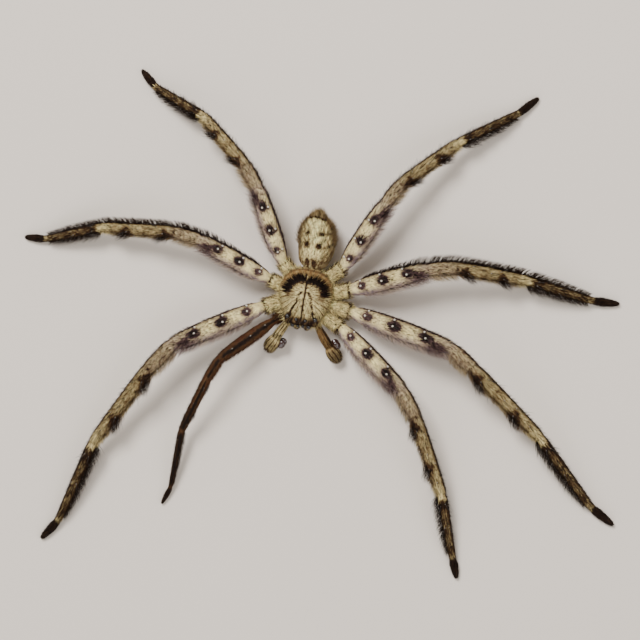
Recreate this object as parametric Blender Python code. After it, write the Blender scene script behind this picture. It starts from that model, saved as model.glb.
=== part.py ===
"""A male huntsman spider, life size, standing flat with its eight legs spread.

Sizes are in millimetres and angles in degrees. mesh_object() turns them into metres.
The head points along -Y, the spider's left side is +X, and the feet stand on z = 0.
Places are measured from the middle of the front body, which stands at BODY_AT.
"""
import math
import random
from collections import namedtuple

import bmesh
import bpy
import numpy as np

METRES = 0.001
UP = np.array((0.0, 0.0, 1.0))
GAP = 0.3
SEED = 11
BODY_AT = np.array((-3.12, 4.16, 0.0))

# Front body: stations from the face to the back rim, each (y, half width, top height)
CARAPACE_BASE = 3.4
CARAPACE_RIM = 0.45
CARAPACE_SIDES = 18
CARAPACE_STATIONS = (
    (-4.85, 2.25, 4.75),
    (-4.4, 2.75, 5.15),
    (-3.3, 3.2, 5.45),
    (-1.8, 3.85, 5.6),
    (0.0, 4.4, 5.65),
    (1.5, 4.45, 5.5),
    (2.9, 4.0, 5.2),
    (4.0, 3.05, 4.75),
    (4.65, 1.9, 4.35),
    (4.85, 1.0, 4.15),
)
STERNUM_STATIONS = ((-2.1, 1.1), (-1.5, 1.9), (-0.3, 2.35), (1.1, 2.2), (2.3, 1.4), (3.0, 0.55))
STERNUM_LEVELS = ((1.45, 0.75), (1.75, 1.0), (3.1, 1.0))

# Eyes of one side: (name, radius, x, y, z)
EYES = (
    ("front_middle", 0.27, 0.42, -4.78, 4.42),
    ("front_side", 0.38, 1.35, -4.72, 4.32),
    ("rear_middle", 0.27, 0.75, -3.8, 5.28),
    ("rear_side", 0.40, 2.3, -3.45, 4.98),
)
EYE_GAP = 0.25

# Rear body: stations from the waist to the tail, each (y, half width, half height, middle height)
WAIST_RADIUS = 0.45
ABDOMEN_STATIONS = (
    (3.3, WAIST_RADIUS, WAIST_RADIUS, 2.5),
    (4.6, WAIST_RADIUS, WAIST_RADIUS, 2.6),
    (5.2, 2.1, 1.35, 2.95),
    (5.9, 2.65, 1.85, 3.2),
    (7.3, 3.0, 2.2, 3.35),
    (9.2, 3.2, 2.35, 3.4),
    (11.0, 2.9, 2.15, 3.35),
    (12.2, 2.2, 1.7, 3.25),
    (12.9, 1.45, 1.15, 3.2),
    (13.3, 0.85, 0.7, 3.15),
)
ABDOMEN_SIDES = 18
ABDOMEN_SWING = 0.45

# Spinnerets: a short oval base and four blunt teats, each at (x, z) on the base
SPINNERET_BASE = (0.62, 0.5)
SPINNERET_BASE_LENGTH = 0.35
SPINNERET_LENGTH = 0.8
SPINNERET_RADIUS = 0.27
SPINNERETS_AT = ((0.3, 0.22), (-0.3, 0.22), (0.3, -0.2), (-0.3, -0.2))

# Jaws: stations down the stout upper piece, each (height, y, half width, half depth), and the
# line of the fang that lies folded under it
JAW_X = 0.86
JAW_SIDES = 12
JAW_STATIONS = (
    (3.1, -4.15, 0.62, 0.74),
    (2.7, -4.32, 0.69, 0.88),
    (2.0, -4.48, 0.69, 0.92),
    (1.5, -4.52, 0.63, 0.78),
    (1.25, -4.54, 0.5, 0.6),
)
FANG_ROOT = np.array((1.22, -4.62, 0.66))
FANG_TIP = np.array((0.28, -4.3, 0.45))
FANG_RADIUS = 0.26
FANG_SIDES = 8

# Legs: the root under the shield, the hip where the thigh starts, the girth beside a full leg,
# and the plan length and heading of the thigh, knee, shin, foot and toe
Leg = namedtuple("Leg", "side root hip runs headings girth")
LEGS = {
    "left_1": Leg(
        side=1, root=(1.6, -1.6), hip=(6.5, -4.0), girth=1.0,
        runs=(14.3, 4.9, 13.0, 10.7, 3.5), headings=(-36, -54, -63, -72, -70)),
    "left_2": Leg(
        side=1, root=(1.6, -0.4), hip=(7.7, -1.2), girth=1.05,
        runs=(17.5, 4.6, 15.4, 14.2, 4.5), headings=(-11, -34, -37, -45, -30)),
    "left_3": Leg(
        side=1, root=(1.6, 0.7), hip=(7.1, 2.3), girth=1.03,
        runs=(13.2, 4.7, 11.1, 11.2, 4.3), headings=(23, 12, -1, -8, 2)),
    "left_4": Leg(
        side=1, root=(1.1, 1.9), hip=(5.3, 5.7), girth=0.98,
        runs=(12.5, 4.0, 11.4, 10.9, 4.1), headings=(64, 60, 46, 36, 47)),
    "right_1": Leg(
        side=-1, root=(-1.6, -1.45), hip=(-4.6, -4.6), girth=0.68,
        runs=(10.5, 3.8, 9.8, 9.8, 3.2), headings=(-135, -113, -110, -94, -111)),
    "right_2": Leg(
        side=-1, root=(-1.6, -0.3), hip=(-6.7, -2.6), girth=1.05,
        runs=(15.9, 5.5, 15.5, 14.7, 4.3), headings=(-148, -125, -120, -107, -125)),
    "right_3": Leg(
        side=-1, root=(-1.6, 0.7), hip=(-6.4, 2.0), girth=0.96,
        runs=(12.6, 4.5, 12.6, 10.3, 3.7), headings=(159, 172, -176, -161, -177)),
    "right_4": Leg(
        side=-1, root=(-1.0, 1.9), hip=(-4.7, 5.1), girth=0.98,
        runs=(12.5, 4.3, 11.0, 10.1, 3.7), headings=(116, 129, 140, 157, 138)),
}
HIP_HEIGHT = 2.9
ROOT_HEIGHT = 2.05
JOINT_HEIGHTS = (HIP_HEIGHT, 6.0, 6.1, 3.2, 0.95, 0.5)
LEG_SIDES = 10
TOE_SIDES = 8

# Leg profiles from joint to joint: (share of the length, half width, half height)
COXA_PROFILE = (
    (0.0, 0.6, 0.62),
    (0.35, 0.85, 0.82),
    (0.62, 1.08, 0.96),
    (0.76, 0.96, 0.9),
    (0.88, 1.2, 1.04),
    (1.0, 1.0, 0.94),
)
FEMUR_PROFILE = (
    (0.0, 0.95, 0.95),
    (0.1, 1.34, 1.26),
    (0.3, 1.6, 1.46),
    (0.6, 1.58, 1.4),
    (0.88, 1.34, 1.16),
    (1.0, 1.02, 0.98),
)
PATELLA_PROFILE = ((0.0, 1.0, 0.96), (0.2, 1.16, 1.05), (0.7, 1.16, 1.05))
TIBIA_PROFILE = (
    (0.0, 1.02, 0.98),
    (0.12, 1.1, 1.02),
    (0.5, 1.06, 0.98),
    (0.88, 0.92, 0.88),
    (1.0, 0.82, 0.8),
)
METATARSUS_PROFILE = (
    (0.0, 0.76, 0.76),
    (0.1, 0.8, 0.8),
    (0.5, 0.7, 0.74),
    (0.9, 0.58, 0.64),
    (1.0, 0.52, 0.56),
)

# Toe profile: (share of the length, half width, half height, middle height)
TARSUS_PROFILE = (
    (0.0, 0.5, 0.52, None),
    (0.18, 0.56, 0.56, 0.72),
    (0.4, 0.6, 0.6, 0.55),
    (0.8, 0.52, 0.56, 0.5),
    (0.96, 0.36, 0.42, 0.42),
)
TARSUS_END = 0.32
FEMUR_BOW = 0.45

# Bristle fringe: flat locks in rows along both edges of a leg. Angles go round the leg from its
# rear edge over the top, and a lock reaches this far past the skin.
REAR_EDGE = 18
FRONT_EDGE = 195
LOCK_SPACING = 1.8
LOCK_WIDTH = 1.5
LOCK_THICKNESS = 0.5
LOCK_SINK = 0.5
LOCK_REACH = 0.85
LOCK_LEAN = 44
LOCK_BEND = 14
LOCK_STAGGER = 9
SHARE_FEMUR = (0.4, 0.86)
SHARE_PATELLA = (0.3, 0.55)
SHARE_TIBIA = (0.1, 0.86)
SHARE_METATARSUS = (0.1, 0.84)

# Spines: (share of the piece, angle round the leg)
FEMUR_SPINES = ((0.24, 90), (0.5, 84), (0.77, 96), (0.4, 145), (0.64, 48))
TIBIA_SPINES = ((0.2, 58), (0.24, 122), (0.45, 90), (0.6, 58), (0.64, 122), (0.82, 90))
METATARSUS_SPINES = ((0.16, 60), (0.16, 120), (0.48, 60), (0.5, 120))
SPINE_RADIUS = 0.26
SPINE_SINK = 0.45
SPINE_LEAN = 48
SPINE_LENGTH = 1.7
SPINE_SIDES = 5

# Tail fringe: locks in two rings round the end of the rear body, each (y, locks in the ring)
TAIL_RINGS = ((10.9, 10), (12.2, 8))
TAIL_LEAN = 62
TAIL_REACH = 0.35

# Feelers: base, heading, plan lengths of thigh, shank and swollen tip, and the bulb's place
# beside the line of the feeler as (along, to its left, height)
Palp = namedtuple("Palp", "side base heading femur shank cymbium bulb")
Piece = namedtuple("Piece", "start stop profile girth side bow")
PALPS = {
    "left": Palp(1, (2.35, -4.05), -51, 2.4, 1.8, 2.9, (4.5, 1.1, 2.35)),
    "right": Palp(-1, (-2.3, -4.3), -118, 1.9, 1.3, 2.8, (3.55, 1.3, 2.2)),
}
PALP_HEIGHTS = (2.3, 3.5, 2.9, 1.5)
MAXILLA_INNER = (1.0, -2.75, 1.9)
MAXILLA_OUTER = (1.65, -3.08, 1.85)
CYMBIUM_PROFILE = (
    (0.0, 0.78, 0.54),
    (0.15, 1.06, 0.68),
    (0.45, 1.25, 0.74),
    (0.75, 1.06, 0.62),
    (0.94, 0.6, 0.4),
)
PALP_SIZES = ((0.35, 0.38), (0.35, 0.38), (0.5, 0.48), (0.78, 0.6), (0.72, 0.54))
BULB_SIZE = (0.68, 1.0, 0.6)
BULB_SHARES = (-0.92, -0.5, 0.0, 0.5, 0.92)

CREAM = (0.62, 0.55, 0.38)
GREY_CREAM = (0.50, 0.45, 0.33)
OLIVE = (0.30, 0.25, 0.17)
RED_BROWN = (0.13, 0.05, 0.03)
TAN = (0.42, 0.24, 0.10)
BLACK = (0.01, 0.008, 0.01)


def clear_scene():
    for obj in list(bpy.data.objects):
        bpy.data.objects.remove(obj, do_unlink=True)


def unit(vector):
    return vector / np.linalg.norm(vector)


def finish(obj, colour, roughness):
    """Give the object its own skin colour and gloss."""
    material = bpy.data.materials.new(obj.name + "_finish")
    material.use_nodes = True
    shader = material.node_tree.nodes["Principled BSDF"]
    shader.inputs["Base Color"].default_value = (*colour, 1.0)
    shader.inputs["Roughness"].default_value = roughness
    shader.inputs["Metallic"].default_value = 0.0
    obj.data.materials.append(material)


def mesh_object(name, points, faces):
    """Make an object from points in millimetres, measured from the middle of the front body."""
    mesh = bpy.data.meshes.new(name)
    placed = (np.asarray(points) + BODY_AT) * METRES
    mesh.from_pydata(placed.tolist(), [], faces)
    mesh.shade_smooth()
    mesh.set_sharp_from_angle(angle=math.radians(50))
    obj = bpy.data.objects.new(name, mesh)
    bpy.context.scene.collection.objects.link(obj)
    return obj


def loft(name, rings, tip=None):
    """Skin a row of rings with the same number of points. The first ring is capped, and the
    last one is capped too or drawn together at the tip."""
    sides = len(rings[0])
    points = np.concatenate(rings)
    faces = [tuple(range(sides))[::-1]]
    for row in range(len(rings) - 1):
        low = row * sides
        for k in range(sides):
            after = (k + 1) % sides
            faces.append((low + k, low + after, low + sides + after, low + sides + k))
    last = (len(rings) - 1) * sides
    if tip is None:
        faces.append(tuple(range(last, last + sides)))
    else:
        points = np.concatenate((points, [tip]))
        for k in range(sides):
            faces.append((last + k, last + (k + 1) % sides, last + sides))
    return mesh_object(name, points, faces)


def across(along):
    """Directions to the left of a line and square to it upwards."""
    left = unit(np.cross(UP, along))
    return left, np.cross(along, left)


def ellipse(centre, along, half_width, half_height, sides):
    left, rise = across(along)
    turn = 2 * math.pi * (np.arange(sides) + 0.5) / sides
    return centre + half_width * np.outer(np.cos(turn), left) + half_height * np.outer(np.sin(turn), rise)


def cut(obj, cutters):
    """Take the cutters' shapes out of the object, and remove the cutters."""
    for cutter in cutters:
        modifier = obj.modifiers.new("cut", "BOOLEAN")
        modifier.operation = "DIFFERENCE"
        modifier.object = cutter
        modifier.solver = "EXACT"
    apply_modifiers(obj)
    for cutter in cutters:
        bpy.data.objects.remove(cutter, do_unlink=True)
    keep_largest(obj)


def fuse(obj, pieces):
    """Join closed pieces to the object in one union."""
    group = bpy.data.collections.new(obj.name + "_pieces")
    bpy.context.scene.collection.children.link(group)
    for piece in pieces:
        bpy.context.scene.collection.objects.unlink(piece)
        group.objects.link(piece)
    modifier = obj.modifiers.new("union", "BOOLEAN")
    modifier.operation = "UNION"
    modifier.operand_type = "COLLECTION"
    modifier.collection = group
    modifier.solver = "EXACT"
    apply_modifiers(obj)
    for piece in pieces:
        bpy.data.objects.remove(piece, do_unlink=True)
    bpy.data.collections.remove(group)
    keep_largest(obj)


def apply_modifiers(obj):
    graph = bpy.context.evaluated_depsgraph_get()
    graph.update()
    solid = bpy.data.meshes.new_from_object(obj.evaluated_get(graph))
    obj.modifiers.clear()
    obj.data = solid


def keep_largest(obj):
    """Keep only the largest closed surface of the object."""
    shape = bmesh.new()
    shape.from_mesh(obj.data)
    unseen = set(shape.faces)
    islands = []
    while unseen:
        island = [unseen.pop()]
        for face in island:
            near = {other for edge in face.edges for other in edge.link_faces} & unseen
            unseen -= near
            island.extend(near)
        islands.append(island)
    islands.sort(key=lambda faces: sum(face.calc_area() for face in faces))
    scraps = [face for island in islands[:-1] for face in island]
    bmesh.ops.delete(shape, geom=scraps, context="FACES")
    shape.to_mesh(obj.data)
    shape.free()


def carapace_solid(name, grow):
    """The low shield of the front body, with a flat underside and a thin upright rim."""
    rings = []
    last = len(CARAPACE_STATIONS) - 1
    for number, (y, half_width, top) in enumerate(CARAPACE_STATIONS):
        shift = grow * ((number == last) - (number == 0))
        half_width += grow
        base = CARAPACE_BASE - grow
        rim = CARAPACE_BASE + CARAPACE_RIM
        turn = np.linspace(0, math.pi, CARAPACE_SIDES)
        crown = top + grow - rim
        arch = np.stack((
            half_width * np.cos(turn),
            np.full(CARAPACE_SIDES, y + shift),
            rim + crown * np.sin(turn) ** 0.9,
        ), axis=1)
        under_x = half_width * np.linspace(-1, 1, 5)
        under = np.stack((under_x, np.full(5, y + shift), np.full(5, base)), axis=1)
        rings.append(np.concatenate((arch, under))[::-1])
    return loft(name, rings)


def sternum_solid(name, grow):
    """The heart-shaped plate under the front body, between the roots of the legs."""
    stations = np.array(STERNUM_STATIONS)
    right = np.stack((stations[:, 1], stations[:, 0]), axis=1)
    left = right[::-1] * (-1, 1)
    plan = np.concatenate((right, left))
    middle = plan.mean(axis=0)
    spoke = plan - middle
    reach = np.linalg.norm(spoke, axis=1, keepdims=True)
    plan = middle + spoke * (1 + grow / reach)
    rings = []
    for level, (z, share) in enumerate(STERNUM_LEVELS):
        height = z + grow * ((level == len(STERNUM_LEVELS) - 1) - (level == 0))
        outline = middle + (plan - middle) * share
        rings.append(np.column_stack((outline, np.full(len(outline), height))))
    return loft(name, rings)


def eye_ball(name, radius, centre):
    mesh = bpy.data.meshes.new(name)
    shape = bmesh.new()
    bmesh.ops.create_icosphere(shape, subdivisions=2, radius=radius * METRES)
    place = (np.asarray(centre) + BODY_AT) * METRES
    bmesh.ops.translate(shape, verts=shape.verts, vec=place)
    shape.to_mesh(mesh)
    shape.free()
    mesh.shade_smooth()
    obj = bpy.data.objects.new(name, mesh)
    bpy.context.scene.collection.objects.link(obj)
    return obj


def build_head():
    shield = carapace_solid("carapace", 0)
    sockets = []
    for side_name, side in (("left", 1), ("right", -1)):
        for row, radius, x, y, z in EYES:
            centre = (side * x, y, z)
            eye = eye_ball(f"eye_{row}_{side_name}", radius, centre)
            finish(eye, BLACK, 0.08)
            sockets.append(eye_ball("socket", radius + EYE_GAP, centre))
    cut(shield, sockets)
    finish(shield, CREAM, 0.85)
    plate = sternum_solid("sternum", 0)
    finish(plate, CREAM, 0.8)


def abdomen_middle(y, z):
    first = ABDOMEN_STATIONS[0][0]
    length = ABDOMEN_STATIONS[-1][0] - first
    return np.array((ABDOMEN_SWING * math.sin(math.pi * (y - first) / length) ** 2, y, z))


def tail_fringe(draw):
    """Rings of locks that lean backwards round the end of the rear body."""
    stations, widths, heights, middles = np.array(ABDOMEN_STATIONS).T
    backwards = np.array((0.0, 1.0, 0.0))
    locks = []
    for y, count in TAIL_RINGS:
        middle = abdomen_middle(y, np.interp(y, stations, middles))
        for number in range(count):
            turn = math.tau * (number + 0.5) / count
            ray = np.array((
                np.interp(y, stations, widths) * math.cos(turn),
                0.0,
                np.interp(y, stations, heights) * math.sin(turn),
            ))
            outward = unit(ray)
            root = middle + ray - outward * LOCK_SINK
            locks.append(lock(root, outward, backwards, TAIL_REACH * draw.uniform(0.7, 1.2), TAIL_LEAN))
    return locks


def build_abdomen(draw):
    backwards = np.array((0.0, 1.0, 0.0))
    rings = []
    for y, half_width, half_height, z in ABDOMEN_STATIONS:
        rings.append(ellipse(abdomen_middle(y, z), backwards, half_width, half_height, ABDOMEN_SIDES))
    body = loft("abdomen", rings)
    fuse(body, tail_fringe(draw))
    finish(body, CREAM, 0.9)
    tail_y, _, _, tail_z = ABDOMEN_STATIONS[-1]
    start = np.array((0.0, tail_y + GAP, tail_z))
    base = loft("spinnerets", [
        ellipse(start, backwards, *SPINNERET_BASE, LEG_SIDES),
        ellipse(start + backwards * SPINNERET_BASE_LENGTH, backwards, *SPINNERET_BASE, LEG_SIDES),
    ])
    teats = []
    for x, z in SPINNERETS_AT:
        root = start + np.array((x, SPINNERET_BASE_LENGTH / 2, z))
        tip = root + np.array((x / 3, SPINNERET_LENGTH, z / 5))
        rings = [ellipse(root, backwards, SPINNERET_RADIUS, SPINNERET_RADIUS, SPINE_SIDES)]
        rings.append(ellipse(tip, backwards, SPINNERET_RADIUS * 0.6, SPINNERET_RADIUS * 0.6, SPINE_SIDES))
        teats.append(loft("teat", rings))
    fuse(base, teats)
    finish(base, OLIVE, 0.8)


def build_jaw(side_name, side):
    rings = []
    turn = -2 * math.pi * (np.arange(JAW_SIDES) + 0.5) / JAW_SIDES
    for z, y, half_width, half_depth in JAW_STATIONS:
        x = side * JAW_X + half_width * np.cos(turn)
        rings.append(np.column_stack((x, y + half_depth * np.sin(turn), np.full(JAW_SIDES, z))))
    jaw = loft(f"chelicera_{side_name}", rings)
    finish(jaw, RED_BROWN, 0.5)
    flip = np.array((side, 1, 1))
    root = FANG_ROOT * flip
    tip = FANG_TIP * flip
    along = unit((tip - root) * (1, 1, 0))
    rings = []
    for share in (0.0, 0.35, 0.7):
        radius = FANG_RADIUS * (1 - 0.6 * share)
        rings.append(ellipse(root + (tip - root) * share, along, radius, radius, FANG_SIDES))
    fang = loft(f"fang_{side_name}", rings, tip)
    finish(fang, BLACK, 0.2)


def limb_rings(start, stop, start_face, stop_face, profile, girth, bow=0.0, gaps=(0.5, 0.5)):
    """Rings from one joint to the next. The end rings lie in the joints' own planes, half a gap
    clear of them, and the rings between are square to the piece, raised by its bow."""
    line = stop - start
    along = unit(line)
    rise = across(along)[1]
    rings = []
    for share, half_width, half_height in profile:
        centre = start + line * share + rise * bow * 4 * share * (1 - share)
        face = along
        if share == 0:
            centre = start + start_face * GAP * gaps[0]
            face = start_face
        if share == 1:
            centre = stop - stop_face * GAP * gaps[1]
            face = stop_face
        rings.append(ellipse(centre, face, half_width * girth, half_height * girth, LEG_SIDES))
    return rings


def skin_at(piece, share, angle):
    """A place on a leg piece: its middle, the way out through the skin and the skin's depth."""
    line = piece.stop - piece.start
    left, rise = across(unit(line))
    shares, widths, heights = np.array(piece.profile).T
    width = np.interp(share, shares, widths) * piece.girth
    height = np.interp(share, shares, heights) * piece.girth
    turn = math.radians(angle if piece.side > 0 else 180 - angle)
    middle = piece.start + line * share + rise * piece.bow * 4 * share * (1 - share)
    ray = width * math.cos(turn) * left + height * math.sin(turn) * rise
    return middle, unit(ray), np.linalg.norm(ray)


def lock(root, outward, along, reach, lean):
    """A flat lock of bristles that tapers to its tip. It leaves the skin leaning along the limb
    and bends further that way, and its blade lies in the plane of the two directions."""
    thick = unit(np.cross(along, outward))
    rings = []
    place = root
    length = (reach + LOCK_SINK) / math.cos(math.radians(lean + LOCK_BEND / 2))
    for share, taper, turn in ((0.0, 1.0, lean), (0.55, 0.72, lean + LOCK_BEND)):
        turn = math.radians(turn)
        way = math.cos(turn) * outward + math.sin(turn) * along
        wide = np.cross(thick, way) * LOCK_WIDTH * taper / 2
        deep = thick * LOCK_THICKNESS * (0.5 + taper / 2) / 2
        place = root + way * length * share
        corners = (wide + deep, deep - wide, -wide - deep, wide - deep)
        rings.append(place + np.array(corners))
    tip = place + way * length * 0.45
    return loft("lock", rings, tip)


def spine(root, outward, along, length):
    lean = math.radians(SPINE_LEAN)
    way = math.cos(lean) * outward + math.sin(lean) * along
    return loft("spine", [ellipse(root, way, SPINE_RADIUS, SPINE_RADIUS, SPINE_SIDES)], root + way * length)


def fringe(piece, span, edges, draw):
    """Rows of locks along a leg piece's edges."""
    length = np.linalg.norm(piece.stop - piece.start)
    along = unit(piece.stop - piece.start)
    count = max(1, round((span[1] - span[0]) * length / LOCK_SPACING))
    locks = []
    for edge in edges:
        for number in range(count):
            share = span[0] + (span[1] - span[0]) * (number + 0.5) / count
            angle = edge + LOCK_STAGGER * (-1) ** number + draw.uniform(-3, 3)
            middle, outward, depth = skin_at(piece, share, angle)
            reach = LOCK_REACH * piece.girth * draw.uniform(0.8, 1.12)
            lean = LOCK_LEAN + draw.uniform(-4, 4)
            locks.append(lock(middle + outward * (depth - LOCK_SINK), outward, along, reach, lean))
    return locks


def spines(piece, places, draw):
    along = unit(piece.stop - piece.start)
    pieces = []
    for share, angle in places:
        middle, outward, depth = skin_at(piece, share, angle)
        length = SPINE_LENGTH * draw.uniform(0.85, 1.15) + SPINE_SINK
        pieces.append(spine(middle + outward * (depth - SPINE_SINK), outward, along, length))
    return pieces


def leg_joints(leg):
    """Joints from the root under the shield to the end of the toe."""
    joints = [np.array((*leg.root, ROOT_HEIGHT)), np.array((*leg.hip, HIP_HEIGHT))]
    for run, heading, height in zip(leg.runs, leg.headings, JOINT_HEIGHTS[1:]):
        step = run * np.array((math.cos(math.radians(heading)), math.sin(math.radians(heading))))
        joints.append(np.array((*(joints[-1][:2] + step), height)))
    return joints


def joint_faces(joints):
    """Each joint's plane splits the angle between its two pieces."""
    lines = [unit(b - a) for a, b in zip(joints[:-1], joints[1:])]
    middle = [unit(a + b) for a, b in zip(lines[:-1], lines[1:])]
    return [lines[0]] + middle + [lines[-1]]


def build_leg(name, leg, draw):
    joints = leg_joints(leg)
    faces = joint_faces(joints)
    girth = leg.girth
    both_edges = (REAR_EDGE, FRONT_EDGE)
    colour = RED_BROWN if name == "right_1" else GREY_CREAM
    dark = RED_BROWN if name == "right_1" else OLIVE

    rings = limb_rings(joints[0], joints[1], faces[0], faces[1], COXA_PROFILE, girth, gaps=(0, 0.5))
    coxa = loft(f"leg_{name}_coxa", rings)
    cut(coxa, [sternum_solid("sternum_room", GAP), carapace_solid("carapace_room", GAP)])
    finish(coxa, CREAM, 0.8)

    rings = limb_rings(joints[1], joints[2], faces[1], faces[2], FEMUR_PROFILE, girth, bow=FEMUR_BOW)
    femur = loft(f"leg_{name}_femur", rings)
    piece = Piece(joints[1], joints[2], FEMUR_PROFILE, girth, leg.side, FEMUR_BOW)
    fuse(femur, fringe(piece, SHARE_FEMUR, both_edges, draw) + spines(piece, FEMUR_SPINES, draw))
    finish(femur, colour, 0.85)

    rings = limb_rings(joints[2], joints[3], faces[2], faces[3], PATELLA_PROFILE, girth)
    rings += limb_rings(joints[3], joints[4], faces[3], faces[4], TIBIA_PROFILE, girth, gaps=(0, 0.5))
    tibia = loft(f"leg_{name}_tibia", rings)
    knee = Piece(joints[2], joints[3], PATELLA_PROFILE, girth, leg.side, 0)
    piece = Piece(joints[3], joints[4], TIBIA_PROFILE, girth, leg.side, 0)
    locks = fringe(knee, SHARE_PATELLA, (REAR_EDGE,), draw) + fringe(piece, SHARE_TIBIA, both_edges, draw)
    fuse(tibia, locks + spines(piece, TIBIA_SPINES, draw))
    finish(tibia, colour, 0.85)

    rings = limb_rings(joints[4], joints[5], faces[4], faces[5], METATARSUS_PROFILE, girth)
    metatarsus = loft(f"leg_{name}_metatarsus", rings)
    piece = Piece(joints[4], joints[5], METATARSUS_PROFILE, girth, leg.side, 0)
    locks = fringe(piece, SHARE_METATARSUS, both_edges, draw)
    fuse(metatarsus, locks + spines(piece, METATARSUS_SPINES, draw))
    finish(metatarsus, dark, 0.85)

    tarsus = toe(f"leg_{name}_tarsus", joints[5], joints[6], faces[5], girth)
    finish(tarsus, dark, 0.85)


def toe(name, start, stop, start_face, girth):
    """The last piece of a leg, which lies along the floor on a flat sole."""
    line = stop - start
    level = unit(line * (1, 1, 0))
    rings = []
    for share, half_width, half_height, height in TARSUS_PROFILE:
        centre = start + line * share
        face = level
        if height is None:
            centre = start + start_face * GAP / 2
            face = start_face
        else:
            centre[2] = height
        rings.append(ellipse(centre, face, half_width * girth, half_height * girth, TOE_SIDES))
    for ring in rings:
        ring[:, 2] = np.maximum(ring[:, 2], 0)
    tip = stop + level * 0.1
    tip[2] = TARSUS_END
    return loft(name, rings, tip)


def build_palp(side_name, palp):
    heading = math.radians(palp.heading)
    forward = np.array((math.cos(heading), math.sin(heading), 0.0))
    left = np.cross(UP, forward)
    flip = np.array((palp.side, 1, 1))
    base = np.array((*palp.base, PALP_HEIGHTS[0]))
    knee = base + forward * palp.femur
    knee[2] = PALP_HEIGHTS[1]
    wrist = knee + forward * palp.shank
    wrist[2] = PALP_HEIGHTS[2]
    end = wrist + forward * palp.cymbium
    end[2] = PALP_HEIGHTS[3]
    joints = [MAXILLA_INNER * flip, MAXILLA_OUTER * flip, base, knee, wrist, end]
    faces = joint_faces(joints)
    rings = []
    for joint, face, size in zip(joints[:4], faces, PALP_SIZES):
        rings.append(ellipse(joint, face, *size, LEG_SIDES))
    rings.append(ellipse(wrist - faces[4] * GAP / 2, faces[4], *PALP_SIZES[4], LEG_SIDES))
    arm = loft(f"palp_{side_name}_arm", rings)
    finish(arm, CREAM if palp.side < 0 else TAN, 0.8)
    tip_rings = limb_rings(wrist, end, faces[4], faces[5], CYMBIUM_PROFILE, 1)
    tip = loft(f"palp_{side_name}_tip", tip_rings, end)
    along, sideways, height = palp.bulb
    place = base + forward * along + left * sideways
    place[2] = height
    rings = []
    for share in BULB_SHARES:
        size = math.sqrt(1 - share ** 2)
        middle = place + forward * BULB_SIZE[1] * share
        rings.append(ellipse(middle, forward, BULB_SIZE[0] * size, BULB_SIZE[2] * size, TOE_SIDES))
    fuse(tip, [loft("bulb", rings)])
    finish(tip, OLIVE, 0.6)


def build_spider():
    clear_scene()
    draw = random.Random(SEED)
    build_head()
    build_abdomen(draw)
    for side_name, side in (("left", 1), ("right", -1)):
        build_jaw(side_name, side)
        build_palp(side_name, PALPS[side_name])
    for name, leg in LEGS.items():
        build_leg(name, leg, draw)


build_spider()
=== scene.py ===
# %% [markdown]
# # A huntsman spider, life size, spread flat on the ground
# The model has one skin mesh, glossy eyes, fangs and feeler bulbs, stiff spines, and a coat of
# short hair made as many thin solid tufts. The imported solids give the size and the places, so the
# first step is to load them.

import math
from collections import namedtuple

import bpy
import numpy as np
from mathutils import Matrix


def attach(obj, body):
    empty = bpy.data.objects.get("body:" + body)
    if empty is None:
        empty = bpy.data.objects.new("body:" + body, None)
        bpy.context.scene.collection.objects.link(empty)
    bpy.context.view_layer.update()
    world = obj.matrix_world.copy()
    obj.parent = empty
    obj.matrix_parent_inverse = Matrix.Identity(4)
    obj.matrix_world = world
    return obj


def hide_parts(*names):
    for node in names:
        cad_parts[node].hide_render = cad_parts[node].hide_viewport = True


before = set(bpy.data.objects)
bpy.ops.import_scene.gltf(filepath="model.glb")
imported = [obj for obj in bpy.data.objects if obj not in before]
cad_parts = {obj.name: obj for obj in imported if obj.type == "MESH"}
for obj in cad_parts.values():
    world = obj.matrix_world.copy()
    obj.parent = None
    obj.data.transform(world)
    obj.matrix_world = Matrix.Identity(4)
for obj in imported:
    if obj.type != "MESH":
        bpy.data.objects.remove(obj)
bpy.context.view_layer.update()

# %% [markdown]
# ## The camera
# Everything is worked out in millimetres from the middle of the front body and is moved into
# place once, when a mesh is made. The picture looks almost straight down on the animal. The
# camera leans six degrees to the animal's left and is rolled nine degrees. A long lens far away
# was chosen over a short one close by because the legs keep their lengths right across the view.

# %% Camera
METRES = 0.001
BODY_AT = np.array((-3.12, 4.16, 0.0))
UP = np.array((0.0, 0.0, 1.0))
CAMERA_AT = np.array((36.01, -3.30, 318.25))
CAMERA_LEAN = math.radians(6)
CAMERA_ROLL = math.radians(9)
LENS = 109.09
SENSOR_WIDTH = 36
NEAREST = 0.01
FARTHEST = 20


def lean(vector):
    """The vector turned about the y axis: x' = x cos + z sin and z' = z cos - x sin."""
    x, y, z = vector
    cos, sin = math.cos(CAMERA_LEAN), math.sin(CAMERA_LEAN)
    return np.array((cos * x + sin * z, y, cos * z - sin * x))


right = lean((math.cos(CAMERA_ROLL), math.sin(CAMERA_ROLL), 0))
above = lean((-math.sin(CAMERA_ROLL), math.cos(CAMERA_ROLL), 0))
back = lean((0, 0, 1))
camera = bpy.data.objects.new("camera", bpy.data.cameras.new("camera"))
camera.data.lens = LENS
camera.data.sensor_width = SENSOR_WIDTH
camera.data.clip_start = NEAREST
camera.data.clip_end = FARTHEST
turned = Matrix(np.column_stack((right, above, back)).tolist()).to_4x4()
camera.matrix_world = Matrix.Translation((CAMERA_AT + BODY_AT) * METRES) @ turned
bpy.context.scene.collection.objects.link(camera)
bpy.context.scene.camera = camera
print("camera height in mm:", round(CAMERA_AT[2], 1))

# %% [markdown]
# ## Shader sums as plain expressions
# A material is a small network of nodes. Placing them by hand hides the sum that they work out,
# so a thin wrapper round a socket lets a line such as `1 - mask * 0.5` add the nodes itself.


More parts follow.
